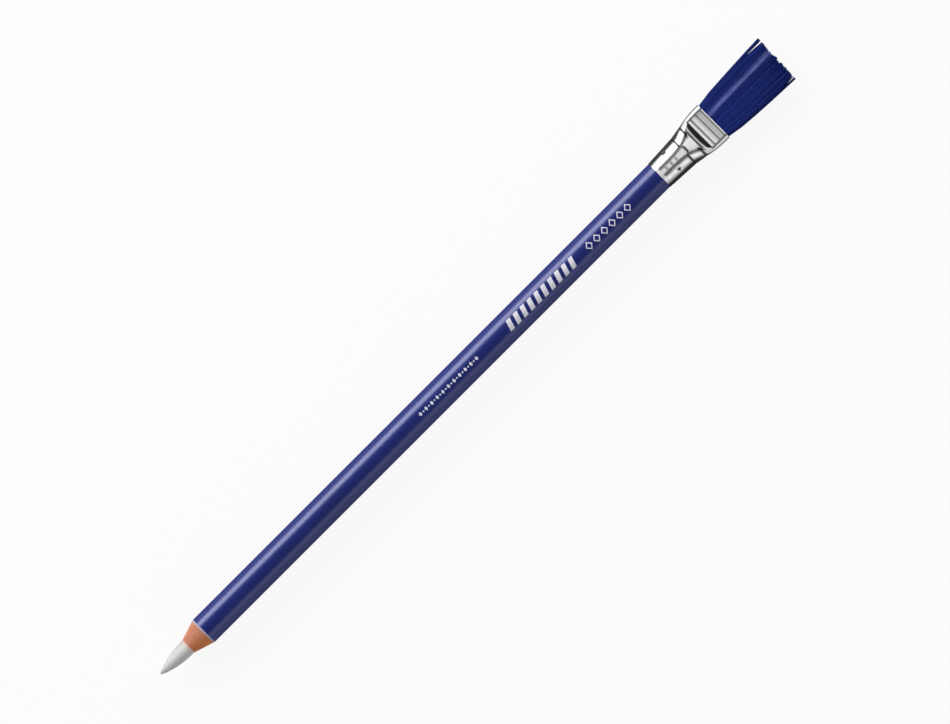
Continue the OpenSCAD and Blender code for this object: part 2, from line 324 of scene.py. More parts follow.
class SharedEffects:
    """The effects that more than one finish uses, each a node group built once."""

    def __init__(self) -> None:
        """Build the three groups."""
        self.mottle = self._mottle()
        self.handling = self._handling()
        self.station = self._station()

    @staticmethod
    def _start(
        name: str, numbers: Iterable[str], results: Iterable[str]
    ) -> tuple[Wiring, Any, Any]:
        """Start a group that takes a vector and some numbers.

        Args:
            name: The group's name.
            numbers: The names of the inputs after the vector, which are single values.
            results: The names of the outputs, which are single values.

        Returns:
            The group's wiring, what it is given, and the sockets of what it puts out.
        """
        tree = bpy.data.node_groups.new(name, "ShaderNodeTree")
        tree.interface.new_socket("Vector", in_out="INPUT", socket_type="NodeSocketVector")
        for label in numbers:
            tree.interface.new_socket(label, in_out="INPUT", socket_type="NodeSocketFloat")
        for label in results:
            tree.interface.new_socket(label, in_out="OUTPUT", socket_type="NodeSocketFloat")
        given = tree.nodes.new("NodeGroupInput").outputs
        return Wiring(tree), given, tree.nodes.new("NodeGroupOutput").inputs

    def _mottle(self) -> bpy.types.NodeTree:
        """Make the soft, uneven tone of natural and moulded stuff.

        Returns:
            The group, whose Tone goes from Low to High.
        """
        wires, given, out = self._start("Mottle", ("Scale", "Low", "High"), ("Tone",))
        broad = wires.noise(given["Vector"], given["Scale"], detail=4.0)
        fine_scale = wires.calc("MULTIPLY", given["Scale"], 5.3)
        fine = wires.noise(given["Vector"], fine_scale, detail=2.0)
        both = wires.calc("MULTIPLY_ADD", fine, 0.35, wires.calc("MULTIPLY", broad, 0.65))
        wires.feed(out["Tone"], wires.span(both, 0.34, 0.66, given["Low"], given["High"]))
        return wires.tree

    def _handling(self) -> bpy.types.NodeTree:
        """Make the fine marks of handling: hair scratches along the pencil, and faint smears.

        Returns:
            The group, with a Scratch mask and a Smear value.
        """
        wires, given, out = self._start("Handling", ("Density",), ("Scratch", "Smear"))
        along = wires.scaled(given["Vector"], (90.0, 5200.0, 5200.0))
        slanted = wires.scaled(given["Vector"], (60.0, 4200.0, 4200.0), turn=(0.0, 0.0, 0.5))
        low = wires.calc("MULTIPLY_ADD", given["Density"], -0.16, 0.8)
        masks = []
        for vector in (along, slanted):
            lines = wires.noise(vector, 1.0, detail=1.0)
            masks.append(wires.span(lines, low, wires.calc("ADD", low, 0.05), easing="LINEAR"))
        wires.feed(out["Scratch"], wires.calc("MAXIMUM", *masks))
        smear = wires.noise(given["Vector"], 210.0, detail=3.0)
        wires.feed(out["Smear"], wires.span(smear, 0.35, 0.7))
        return wires.tree

    def _station(self) -> bpy.types.NodeTree:
        """Make a mask that starts at a station along the pencil, with an uneven edge.

        Returns:
            The group, whose Beyond is 0 before the station and 1 past it.
        """
        wires, given, out = self._start("Station", ("Station", "Softness", "Wobble"), ("Beyond",))
        uneven = wires.calc("SUBTRACT", wires.noise(given["Vector"], 900.0, detail=3.0), 0.5)
        along = wires.part(given["Vector"], "X")
        moved = wires.calc("MULTIPLY_ADD", uneven, given["Wobble"], along)
        end = wires.calc("ADD", given["Station"], given["Softness"])
        wires.feed(out["Beyond"], wires.span(moved, given["Station"], end))
        return wires.tree


# ---------- finishes ----------


class Surface(Wiring):
    """The wiring of one piece's material, whose patterns lie on Object coordinates."""

    def __init__(self, name: str, effects: SharedEffects) -> None:
        """Start a material.

        Args:
            name: The material's name.
            effects: The shared node groups.
        """
        self.material = bpy.data.materials.new(name)
        self.material.use_nodes = True
        super().__init__(self.material.node_tree)
        self.shader = self.tree.nodes["Principled BSDF"]
        self.here = self.add("TexCoord").outputs["Object"]
        self.effects = effects

    def coat(self, sockets: dict[str, Value]) -> None:
        """Feed sockets of the surface shader, by name."""
        for name, value in sockets.items():
            self.feed(self.shader.inputs[name], value)

    def bump(self, height: Value, distance: float, strength: float) -> None:
        """Raise the surface by a height, whose full range is the distance in millimetres."""
        sockets = {"Height": height, "Distance": distance * MM, "Strength": strength}
        self.coat({"Normal": self.add("Bump", sockets).outputs["Normal"]})

    def kept(self, name: str) -> Socket:
        """Return a value that the mesh keeps at each of its points."""
        return self.add("Attribute", attribute_name=name).outputs["Fac"]

    def mottle(self, scale: float, low: float, high: float, at: Value | None = None) -> Socket:
        """Return the uneven tone of natural or moulded stuff, which goes from low to high."""
        sockets = {"Vector": at or self.here, "Scale": scale, "Low": low, "High": high}
        return self.group(self.effects.mottle, sockets).outputs["Tone"]

    def handling(self, density: float) -> tuple[Socket, Socket]:
        """Find where handling has scratched and smeared the surface.

        Args:
            density: How many scratches there are.

        Returns:
            The mask of the hair scratches, and the value of the smears.
        """
        sockets = {"Vector": self.here, "Density": density}
        outputs = self.group(self.effects.handling, sockets).outputs
        return outputs["Scratch"], outputs["Smear"]

    def beyond(self, station: float, softness: float, wobble: float) -> Socket:
        """Return a mask that starts at a station along the pencil, with an uneven edge.

        Args:
            station: Where the mask starts, in millimetres.
            softness: How far it takes to come up.
            wobble: How far its edge wanders.

        Returns:
            The mask, 0 before the station and 1 past it.
        """
        sizes = {"Station": station, "Softness": softness, "Wobble": wobble}
        sockets = {name: size * MM for name, size in sizes.items()}
        sockets["Vector"] = self.here
        return self.group(self.effects.station, sockets).outputs["Beyond"]


class Finish:
    """A finish that makes one material.

    Attributes:
        name: The material's name.
    """

    name: str

    def make(self, effects: SharedEffects) -> bpy.types.Material:
        """Make the material.

        Args:
            effects: The shared node groups.

        Returns:
            The finished material.
        """
        surface = Surface(self.name, effects)
        self.paint(surface)
        return surface.material

    def paint(self, on: Surface) -> None:
        """Feed the sockets of the surface shader, which each finish does its own way.

        Args:
            on: The surface to paint.
        """
        raise NotImplementedError


@dataclass(frozen=True)
class EraserFinish(Finish):
    """Pale vinyl eraser, a little smudged where it has rubbed, with painted shade along its +Y
    edge.

    Attributes:
        tip: Station of the tip, in millimetres.
        wood: Station where the wood starts.
        clean: The vinyl's lighter tone.
        shaded: Its darker tone.
        smudge_and_shade_grey: The grey of what it has rubbed out, and of the painted shade along
            the +Y edge.
        dust: The wood dust by its seat.
        rubbed_len: How far back from the tip it is rubbed.
    """

    tip: float
    wood: float
    name: str = "eraser"
    clean: Colour = (0.66, 0.645, 0.635)
    shaded: Colour = (0.56, 0.545, 0.54)
    smudge_and_shade_grey: Colour = (0.40, 0.39, 0.395)
    dust: Colour = (0.70, 0.58, 0.55)
    rubbed_len: float = 2.4

    def paint(self, on: Surface) -> None:
        """Paint the mottled body, the rubbed tip, the painted shade along the +Y edge and the dust
        by the wood.

        Args:
            on: The surface to paint.
        """
        tone = on.mottle(scale=420.0, low=0.0, high=0.55)
        body = on.blend(tone, rgba(self.clean), rgba(self.shaded))
        past_tip = on.beyond(self.tip + 0.3, self.rubbed_len, wobble=2.4)
        patch = on.span(on.noise(on.here, 1500.0, detail=3.0), 0.42, 0.62, 0.25, 0.85)
        smudge_and_shade_share = on.calc("MULTIPLY", on.calc("SUBTRACT", 1.0, past_tip), patch)
        # Painted shade: the eraser's +Y edge is darkened towards the smudge grey, with an uneven
        # border.
        side = on.calc("MULTIPLY_ADD", patch, 0.5 * MM, on.part(on.here, "Y"))
        painted_edge_shade = on.span(side, 0.9 * MM, 2.2 * MM, 0.0, 0.75)
        smudge_and_shade_share = on.calc("MAXIMUM", smudge_and_shade_share, painted_edge_shade)
        seat = on.beyond(self.wood - 1.2, softness=1.0, wobble=0.6)
        body = on.blend(on.calc("MULTIPLY", seat, 0.5), body, rgba(self.dust))
        on.coat({
            "Base Color": on.blend(smudge_and_shade_share, body, rgba(self.smudge_and_shade_grey)),
            "Roughness": on.span(tone, 0.0, 0.55, 0.72, 0.86),
            "Specular IOR Level": 0.3,
        })
        grit = on.noise(on.here, 2600.0, detail=4.0, roughness=0.6)
        on.bump(grit, distance=0.03, strength=0.5)


@dataclass(frozen=True)
class WoodFinish(Finish):
    """Sharpened cedar, with growth lines along the cone and resin specks.

    Attributes:
        wood: Station of the thin front edge of the wood, in millimetres.
        light: The wood between its growth lines.
        dark: The growth lines.
        resin_and_painted_fill: The resin tone on the -Y side, which is also painted light that
            lifts that shaded side.
        speck: The resin specks.
        pale_edge: The rubbed front edge.
        edge_len: How far that edge reaches.
    """

    wood: float
    name: str = "bare_wood"
    light: Colour = (0.55, 0.222, 0.138)
    dark: Colour = (0.48, 0.168, 0.088)
    resin_and_painted_fill: Colour = (0.68, 0.205, 0.045)
    speck: Colour = (0.30, 0.085, 0.012)
    pale_edge: Colour = (0.72, 0.56, 0.52)
    edge_len: float = 0.35

    def paint(self, on: Surface) -> None:
        """Paint the growth lines, the resin with painted light on the -Y side, its specks and the
        rubbed front edge.

        Args:
            on: The surface to paint.
        """
        grown = on.stretched_noise(on.here, (55.0, 620.0, 620.0), detail=5.0, roughness=0.62)
        lines = on.span(grown, 0.36, 0.66)
        tone = on.mottle(scale=330.0, low=0.0, high=0.5)
        grain = on.calc("MULTIPLY_ADD", lines, 0.6, on.calc("MULTIPLY", tone, 0.5))
        body = on.blend(grain, rgba(self.light), rgba(self.dark))
        # Painted light: the -Y side, away from the lamp, takes the lighter resin tone, which lifts
        # its shade.
        across = on.calc("MULTIPLY_ADD", tone, 2.0 * MM, on.part(on.here, "Y"))
        resin_and_fill_share = on.span(across, 1.6 * MM, -2.4 * MM, 0.0, 0.88)
        body = on.blend(resin_and_fill_share, body, rgba(self.resin_and_painted_fill))
        spots = on.stretched_noise(on.here, (300.0, 1500.0, 1500.0), detail=2.0)
        flecks = on.span(spots, 0.62, 0.7, 0.0, 0.75)
        body = on.blend(flecks, body, rgba(self.speck))
        past_edge = on.beyond(self.wood, self.edge_len, wobble=0.3)
        on.coat({
            "Base Color": on.blend(past_edge, rgba(self.pale_edge), body),
            "Roughness": on.span(grain, 0.0, 1.0, 0.58, 0.74),
            "Specular IOR Level": 0.3,
        })
        on.bump(on.calc("ADD", lines, flecks), distance=0.02, strength=0.6)


@dataclass(frozen=True)
class LacquerFinish(Finish):
    """Deep blue lacquer over a pale undercoat that shows where it was sharpened.

    Attributes:
        cut: Station where the cut edge of the lacquer starts, in millimetres.
        cut_len: How far the cut edge reaches along the barrel.
        top: The top coat's lighter tone.
        top_deep: Its darker tone.
        undercoat: The coat that the cut lays bare.
        hair: The hair scratches.
        edge_tint: The tint of the gloss at a low angle.
        pearl: How much of the blue lies in the gloss.
        gloss: How much clear gloss lies over the blue.
    """

    cut: float
    cut_len: float = 0.52
    name: str = "blue_lacquer"
    top: Colour = (0.0006, 0.0105, 0.17)
    top_deep: Colour = (0.0004, 0.0085, 0.152)
    undercoat: Colour = (0.43, 0.39, 0.46)
    hair: Colour = (0.012, 0.025, 0.16)
    edge_tint: Colour = (0.05, 0.05, 0.1)
    pearl: float = 0.15
    gloss: float = 0.2

    def paint(self, on: Surface) -> None:
        """Paint the even top coat, its hair scratches and the undercoat in the cut.

        Args:
            on: The surface to paint.
        """
        tone = on.mottle(scale=60.0, low=0.0, high=1.0)
        scratch, smear = on.handling(density=0.35)
        body = on.blend(tone, rgba(self.top), rgba(self.top_deep))
        body = on.blend(on.calc("MULTIPLY", scratch, 0.35), body, rgba(self.hair))
        cut_end = self.cut + self.cut_len - 0.1
        coated = on.beyond(cut_end, softness=0.05, wobble=0.12)
        rough = on.calc("MULTIPLY_ADD", scratch, 0.12, on.span(smear, 0.0, 1.0, 0.27, 0.33))
        bare = on.calc("SUBTRACT", 1.0, coated)
        on.coat({
            "Base Color": on.blend(coated, rgba(self.undercoat), body),
            "Roughness": on.calc("MULTIPLY_ADD", bare, 0.35, rough),
            "Metallic": on.calc("MULTIPLY", coated, self.pearl),
            "Coat Weight": on.calc("MULTIPLY", coated, self.gloss),
            "Coat Roughness": 0.3,
            "Coat IOR": 3.5,
            "Specular IOR Level": 0.0,
            "Specular Tint": rgba(self.edge_tint),
        })
        on.bump(on.noise(on.here, 240.0), distance=0.012, strength=0.35)


@dataclass(frozen=True)
class SheetFinish(Finish):
    """Bright pressed sheet, with painted shade in its press lines and on its flanks.

    Attributes:
        bright: The sheet's lighter tone.
        dull: Its darker tone.
        painted_shade_dark: The dark colour of the painted shade.
        edge_tint: The tint of the gloss at a low angle.
        metal_on_flat: How mirror-like the sheet is on the flats, which the press dulls.
        metal_on_flank: The same on the flanks, which stay bright.
    """

    name: str = "bright_sheet"
    bright: Colour = (0.93, 0.93, 0.94)
    dull: Colour = (0.84, 0.84, 0.86)
    painted_shade_dark: Colour = (0.02, 0.02, 0.024)
    edge_tint: Colour = (0.02, 0.02, 0.03)
    metal_on_flat: float = 0.12
    metal_on_flank: float = 0.95

    def paint(self, on: Surface) -> None:
        """Paint the drawn sheet, its faint turning rings, its scratches and its painted shade.

        Args:
            on: The surface to paint.
        """
        tone = on.mottle(scale=260.0, low=0.0, high=0.6)
        scratch, smear = on.handling(density=0.7)
        painted_shade, polish = on.kept("painted_shade"), on.kept("polish")
        body = on.blend(tone, rgba(self.bright), rgba(self.dull))
        rough = on.calc("MULTIPLY_ADD", scratch, 0.1, on.span(smear, 0.0, 1.0, 0.2, 0.3))
        # The painted shade darkens the base colour and makes the sheet rougher.
        on.coat({
            "Base Color": on.blend(painted_shade, body, rgba(self.painted_shade_dark)),
            "Roughness": on.calc("MULTIPLY_ADD", painted_shade, 0.3, rough),
            "Metallic": on.span(polish, 0.0, 1.0, self.metal_on_flat, self.metal_on_flank),
            "Specular Tint": rgba(self.edge_tint),
        })
        rings = on.stretched_noise(on.here, (2600.0, 14.0, 14.0), detail=2.0)
        height = on.calc("MULTIPLY_ADD", scratch, -0.4, rings)
        on.bump(height, distance=0.01, strength=0.35)


@dataclass(frozen=True)
class BristleFinish(Finish):
    """Dyed nylon bristle, each one a little different, with a painted highlight stripe along the
    tuft.

    Attributes:
        deep: The darkest bristles.
        plain: Most of them.
        painted_highlight: The painted highlight, where the tuft catches the light.
    """

    name: str = "blue_bristle"
    deep: Colour = (0.006, 0.017, 0.15)
    plain: Colour = (0.007, 0.021, 0.178)
    painted_highlight: Colour = (0.17, 0.195, 0.56)

    def paint(self, on: Surface) -> None:
        """Paint each bristle's own tone, which holds the painted highlight, and its uneven dye
        along its length.

        Args:
            on: The surface to paint.
        """
        tone = on.kept("tone")
        drawn_out = on.scaled(on.here, (0.3, 1.0, 1.0))
        dye = on.mottle(scale=900.0, low=-0.07, high=0.07, at=drawn_out)
        level = on.calc("ADD", tone, dye)
        body = on.blend(on.span(level, 0.0, 0.3), rgba(self.deep), rgba(self.plain))
        # Bristles with a high tone take the painted highlight.
        on.coat({
            "Base Color": on.blend(on.span(level, 0.35, 1.0), body, rgba(self.painted_highlight)),
            "Roughness": on.span(level, 0.0, 1.0, 0.62, 0.5),
            "Specular IOR Level": 0.13,
        })


@dataclass(frozen=True)
class CementFinish(Finish):
    """Set resin round the bristle roots.

    Attributes:
        clear: The resin where it is clear.
        cloudy: The resin where it is cloudy.
    """

    name: str = "cement"
    clear: Colour = (0.42, 0.33, 0.14)
    cloudy: Colour = (0.56, 0.49, 0.30)

    def paint(self, on: Surface) -> None:
        """Paint the cloudy resin and its small bubbles.

        Args:
            on: The surface to paint.
        """
        tone = on.mottle(scale=900.0, low=0.0, high=1.0)
        on.coat({
            "Base Color": on.blend(tone, rgba(self.clear), rgba(self.cloudy)),
            "Roughness": on.span(tone, 0.0, 1.0, 0.3, 0.6),
        })
        on.bump(on.noise(on.here, 3000.0), distance=0.02, strength=0.5)


@dataclass(frozen=True)
class FoilFinish(Finish):
    """White stamping foil, thin at its edges and lightly rubbed.

    Attributes:
        fresh: The foil where it is whole.
        rubbed: The foil where handling has thinned it.
    """

    name: str = "white_foil"
    fresh: Colour = (0.80, 0.79, 0.85)
    rubbed: Colour = (0.46, 0.46, 0.60)

    def paint(self, on: Surface) -> None:
        """Paint the foil and where handling has thinned it.

        Args:
            on: The surface to paint.
        """
        scratch, _ = on.handling(density=0.9)
        tone = on.mottle(scale=1300.0, low=0.0, high=0.45)
        thin = on.calc("MAXIMUM", tone, on.calc("MULTIPLY", scratch, 0.8))
        on.coat({
            "Base Color": on.blend(thin, rgba(self.fresh), rgba(self.rubbed)),
            "Roughness": on.span(thin, 0.0, 1.0, 0.42, 0.55),
            "Specular IOR Level": 0.35,
        })


# ---------- meshes ----------


def add_object(name: str, data: bpy.types.ID) -> bpy.types.Object:
    """Put a mesh, a lamp or a camera into the scene.

    Args:
        name: The object's name.
        data: The mesh, lamp or camera.

    Returns:
        Its object.
    """
    thing = bpy.data.objects.new(name, data)
    bpy.context.scene.collection.objects.link(thing)
    return thing


def finish_mesh(form: bmesh.types.BMesh, name: str, places: Places) -> bpy.types.Object:
    """Put a form that was made round the pencil's axis in its place, in metres.

    Args:
        form: The form, in millimetres, with the pencil's axis along X through the origin.
        name: The piece's name.
        places: The pencil's stations.

    Returns:
        The piece, whose object sits at the origin.
    """
    lift = Matrix.Translation((0.0, 0.0, places.axis))
    bmesh.ops.transform(form, matrix=Matrix.Scale(MM, 4) @ lift, verts=form.verts)
    mesh = bpy.data.meshes.new(name)
    form.to_mesh(mesh)
    form.free()
    return add_object(name, mesh)


def wear(piece: bpy.types.Object, material: bpy.types.Material) -> None:
    """Give a piece its only material."""
    piece.data.materials.clear()
    piece.data.materials.append(material)


# ---------- pieces of wood, eraser and lacquer ----------


@dataclass
class Pencil:
    """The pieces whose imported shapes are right: eraser core, slats, lacquer and cement.

    Attributes:
        places: The pencil's stations.
        nodes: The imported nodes, by name.
    """

    places: Places
    nodes: dict[str, bpy.types.Object]

    def dress(self, effects: SharedEffects) -> list[bpy.types.Object]:
        """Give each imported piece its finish.

        Args:
            effects: The shared node groups.

        Returns:
            The pieces.
        """
        wood = WoodFinish(wood=self.places.wood).make(effects)
        worn = {
            "eraser_core": EraserFinish(tip=self.places.tip, wood=self.places.wood).make(effects),
            "casing_upper": wood,
            "casing_lower": wood,
            "lacquer_coat": LacquerFinish(cut=self.places.paint).make(effects),
            "root_cement": CementFinish().make(effects),
        }
        for name, material in worn.items():
            wear(self.nodes[name], material)
        return [self.nodes[name] for name in worn]


# ---------- ferrule ----------


@dataclass(frozen=True)
class PressForm:
    """The shape of the pressed ferrule, with s measured from its open edge, in millimetres.

    Attributes:
        grip_r: Radius of the round grip at the open edge.
        sheet_t: Thickness of the sheet.
        grip_len: Length of the grip, up to the first fold.
        grip_swell: How much wider the grip is, on each side, at that fold.
        flat_w_start: Width of the flat at the open edge.
        flat_w_end: Its width at the first fold.
        slope_len: Length of the slope from the grip to the shoulder.
        corner_w: Width of the flat where the rails begin.
        shoulder_h: Height of the shoulder over the middle plane.
        mouth_w: Width of the mouth.
        mouth_t: Thickness of the mouth.
        rail_w: Width of a rail beside the panel.
        panel_len: Length of the panel.
        band_len: Length of the plain band before its ribs.
        panel_t: Thickness over the two panels.
        dimple_at: Where the staking dimples are.
        dimple_reach: How far a dimple reaches from its middle.
        dimple_depth: How deep it is.
        dimple_turn: How far round the first one is, in degrees from straight up.
        rim_len: Length of the plain rim at the open edge.
        rim_blend: How far the flat takes to come up behind the rim.
        corner_back: How far before the shoulder the rails begin.
        shoulder_len: Length from the shoulder to the step.
        step_len: Length of the step.
        rise_len: How far the panel takes to rise behind the step.
        lip_len: Length of the lip.
        straight_len: How far before the lip the sides run straight.
        step_top: Height of the step's upper edge.
        groove_depth: Depth of the grooves between the ribs.
        lip_flare: How far the lip opens.
        rail_wall: How far a rail's inner wall leans out.
        rail_least: The least that the panel's edge lies inside the side.
        side_power: How evenly the sides spread to the mouth.
        flare_power: How late the flat widens along the grip.
        crease_power: How late it widens along the slope.
        grip_bow: How far the first fold bows back at the sides.
        grip_bow_reach: How far from the fold that bow still shows.
        bow_share: The step's bow, as a share of the rail beside it.
        step_bow_power: How late the step starts to bow.
        step_set_back: How far back the step's inner face lies, as a share of the sheet.
        line_depth: Depth of a press line.
        line_half: Half its width.
        fold_half: Half the width of a fold.
        crease_cols: How many columns the crease beside the flat takes on each side.
        faint_rings: Where the fine rings on the grip are.
        flat_cols: How many columns half the flat has.
        side_cols: How many columns a quarter has beside the flat.
    """

    grip_r: float = 3.77
    sheet_t: float = 0.25
    grip_len: float = 8.6
    grip_swell: float = 0.4
    flat_w_start: float = 1.7
    flat_w_end: float = 2.6
    slope_len: float = 3.1
    corner_w: float = 4.7
    shoulder_h: float = 2.3
    mouth_w: float = 10.65
    mouth_t: float = 3.1
    rail_w: float = 1.15
    panel_len: float = 4.0
    band_len: float = 0.8
    panel_t: float = 2.6
    dimple_at: float = 4.3
    dimple_reach: float = 0.72
    dimple_depth: float = 0.34
    dimple_turn: float = 52.0
    rim_len: float = 0.5
    rim_blend: float = 0.5
    corner_back: float = 0.6
    shoulder_len: float = 0.6
    step_len: float = 1.0
    rise_len: float = 0.55
    lip_len: float = 0.5
    straight_len: float = 1.0
    step_top: float = 2.1
    groove_depth: float = 0.1
    lip_flare: float = 0.06
    rail_wall: float = 0.16
    rail_least: float = 0.9
    side_power: float = 1.15
    flare_power: float = 4.0
    crease_power: float = 1.7
    grip_bow: float = 0.68
    grip_bow_reach: float = 3.2
    bow_share: float = 0.58
    step_bow_power: float = 2.5
    step_set_back: float = 0.6
    line_depth: float = 0.06
    line_half: float = 0.22
    fold_half: float = 0.32
    crease_cols: float = 3.2
    faint_rings: tuple[float, ...] = (2.3, 3.9, 5.42)
    flat_cols: int = 12
    side_cols: int = 40

    @property
    def shoulder_at(self) -> float:
        """Where the slope from the grip ends."""
        return self.grip_len + self.slope_len

    @property
    def corner_at(self) -> float:
        """Where the rails begin."""
        return self.shoulder_at - self.corner_back

    @property
    def step_at(self) -> float:
        """Where the step down to the panel starts."""
        return self.shoulder_at + self.shoulder_len

    @property
    def panel_at(self) -> float:
        """Where the panel starts."""
        return self.step_at + self.step_len

    @property
    def ribs_at(self) -> float:
        """Where the panel's first rib is."""
        return self.panel_at + self.band_len

    @property
    def lip_at(self) -> float:
        """Where the lip starts."""
        return self.panel_at + self.panel_len

    @property
    def mouth_at(self) -> float:
        """Where the ferrule ends."""
        return self.lip_at + self.lip_len

    @property
    def quarter_cols(self) -> int:
        """How many columns a quarter of the section has."""
        return self.flat_cols + self.side_cols

    @property
    def ring_cols(self) -> int:
        """How many columns the whole section has."""
        return 4 * self.quarter_cols

    def half_width(self, s: float) -> float:
        """Find half the ferrule's width at s.

        Args:
            s: The place along the ferrule.

        Returns:
            Half the width.
        """
        if s < self.grip_len:
            return self.grip_r + self.grip_swell * s / self.grip_len
        spread = (s - self.grip_len) / (self.lip_at - self.straight_len - self.grip_len)
        spread = quarter_sine(spread) ** self.side_power
        return mix(self.grip_r + self.grip_swell, self.mouth_w / 2, spread)

    def flat_half(self, s: float) -> float:
        """Return half the width of the flat at s, up to its crease or rail.

        Args:
            s: The place along the ferrule.

        Returns:
            Half the flat's width.
        """
        if s < self.grip_len:
            share = s / self.grip_len
            return mix(self.flat_w_start, self.flat_w_end, share**self.flare_power) / 2
        if s < self.corner_at:
            share = (s - self.grip_len) / (self.corner_at - self.grip_len)
            return mix(self.flat_w_end, self.corner_w, share**self.crease_power) / 2
        share = (s - self.corner_at) / (self.panel_at - self.corner_at)
        widening = mix(self.corner_w / 2, self.mouth_w / 2 - self.rail_w, quarter_sine(share))
        return min(self.half_width(s) - self.rail_least, widening)

    def grip_height(self, s: float, y: float) -> float:
        """Return the height of the round grip at s, a distance y from the middle."""
        return self.grip_r * math.sqrt(max(0.0, 1 - (y / self.half_width(s)) ** 2))

    def flat_height(self, s: float) -> float:
        """Return the height of the flat above the middle plane.

        Args:
            s: The place along the ferrule.

        Returns:
            The height, without the press lines.
        """
        on_grip = min(s, self.grip_len)
        grip_h = self.grip_height(on_grip, self.flat_half(on_grip))
        if s < self.grip_len:
            return grip_h
        if s < self.shoulder_at:
            return mix(grip_h, self.shoulder_h, (s - self.grip_len) / self.slope_len)
        if s < self.step_at:
            return mix(self.shoulder_h, self.step_top, (s - self.shoulder_at) / self.shoulder_len)
        step_foot = self.panel_t / 2 - self.groove_depth
        if s < self.panel_at:
            return mix(self.step_top, step_foot, (s - self.step_at) / self.step_len)
        rise = ramp(self.panel_at, self.panel_at + self.rise_len, s)
        flare = self.lip_flare * ramp(self.lip_at, self.mouth_at, s)
        return mix(step_foot, self.panel_t / 2, rise) + flare

    def rail_height(self, s: float) -> float:
        """Find the height of the rail's top beside the flat.

        Args:
            s: The place along the ferrule.

        Returns:
            The height over the middle plane.
        """
        if s < self.corner_at:
            return self.flat_height(s)
        share = ramp(self.corner_at, self.panel_at + self.rise_len, s)
        return mix(self.flat_height(self.corner_at), self.mouth_t / 2, share)

    def rib_dip(self, s: float) -> float:
        """Return how far, from 0 to 1, the panel dips at s between its fine ribs."""
        along = (s - self.ribs_at) / ((self.panel_len - self.band_len) / 2)
        return 0.0 if along < 0 or along > 2 else 1 - abs(math.sin(math.pi * along))

    def section_point(self, s: float, column: int, inset: float) -> tuple[float, float]:
        """Find a point of the section at s in the quarter above and to one side.

        Args:
            s: The place along the ferrule.
            column: The column, counted from the middle of the flat.
            inset: How far inside the outer face the point lies.

        Returns:
            The point's height and its distance from the middle.
        """
        flat, side = self.flat_half(s), self.half_width(s)
        start = math.asin(flat / side)
        squared = ramp(self.grip_len, self.panel_at, s)
        pressed = ramp(self.rim_len, self.rim_len + self.rim_blend, s)
        fine = 1.0 if inset == 0 else 0.0
        crease = self.line_depth * hump(0, self.crease_cols, column - self.flat_cols)
        crease *= pressed * (1 - squared) * fine
        if column <= self.flat_cols:
            share = column / self.flat_cols
            y = flat * share
            top = mix(self.grip_height(s, y), self.flat_height(s), pressed)
            dip = fine * self.groove_depth * self.rib_dip(s)
            wide = mix((side - inset) * math.sin(start), flat, squared) * share
            return top - inset - crease - dip, wide
        step = (column - self.flat_cols) / self.side_cols
        turn = mix(start, math.pi / 2, step)
        tall = self.flat_height(s) / math.cos(start)
        corner = math.pi / 2 * (column - self.flat_cols - 1) / (self.side_cols - 1)
        round_h, round_w = (tall - inset) * math.cos(turn) - crease, (side - inset) * math.sin(turn)
        rail_h = (self.rail_height(s) - inset) * math.cos(corner)
        rail_w = mix(flat + self.rail_wall + inset, side - inset, math.sin(corner))
        return mix(round_h, rail_h, squared), mix(round_w, rail_w, squared)

    def dimple(self, s: float, height: float, wide: float) -> float:
        """Find how far one of the four staking dimples presses in this point.

        Args:
            s: The place along the ferrule.
            height: The point's height over the middle plane.
            wide: Its distance from the middle.

        Returns:
            The share of a dimple's depth, from 0 to 1.
        """
        angle = math.degrees(math.atan2(wide, height))
        nearest = (angle - self.dimple_turn + 45) % 90 - 45
        arc = math.hypot(height, wide) * math.radians(nearest)
        return hump(0, self.dimple_reach, math.hypot(s - self.dimple_at, arc))

    def on_side(self, s: float, wide: float) -> float:
        """Return 0 on the flat and 1 beside it, with a soft change just inside its edge."""
        return ramp(0.8, 1.0, abs(wide) / self.flat_half(s))

    def line(self, s: float, wide: float) -> float:
        """Find how far a press line round or across the ferrule dips here.

        Args:
            s: The place along the ferrule.
            wide: The distance from the middle.

        Returns:
            The share of a line's depth, from 0 to 1.
        """
        on_side = self.on_side(s, wide)
        return (
            hump(self.rim_len, self.line_half, s)
            + hump(self.grip_len, self.fold_half, s)
            + on_side * hump(self.corner_at, self.fold_half, s)
            + (1 - on_side) * hump(self.shoulder_at, self.line_half, s)
        )

    def bow(self, s: float, wide: float) -> float:
        """Return how far a point moves along the ferrule, so that the press lines bow.

        Args:
            s: The place along the ferrule.
            wide: The distance from the middle.

        Returns:
            The move along the ferrule.
        """
        if s < self.step_at:
            into_step = ramp(self.corner_at, self.step_at, s)
        else:
            into_step = 1 - clamp01((s - self.step_at) / self.step_len)
        step_edge = self.flat_half(self.panel_at)
        step_bow = self.bow_share * (self.half_width(self.panel_at) - step_edge)
        bowed = min(1.0, abs(wide / step_edge) ** self.step_bow_power)
        on_rail = ramp(step_edge, self.half_width(s), abs(wide))
        back = self.grip_bow * hump(self.grip_len, self.grip_bow_reach, s)
        back *= min(1.0, (wide / (self.flat_w_end / 2)) ** 4)
        return step_bow * into_step * bowed * (1 - on_rail) - back

    def step_back(self, s: float) -> float:
        """Return how much nearer the open edge the inner face of the step lies."""
        on_step = plateau((self.corner_at, self.step_at), (self.panel_at, self.ribs_at), s)
        return self.step_set_back * self.sheet_t * on_step

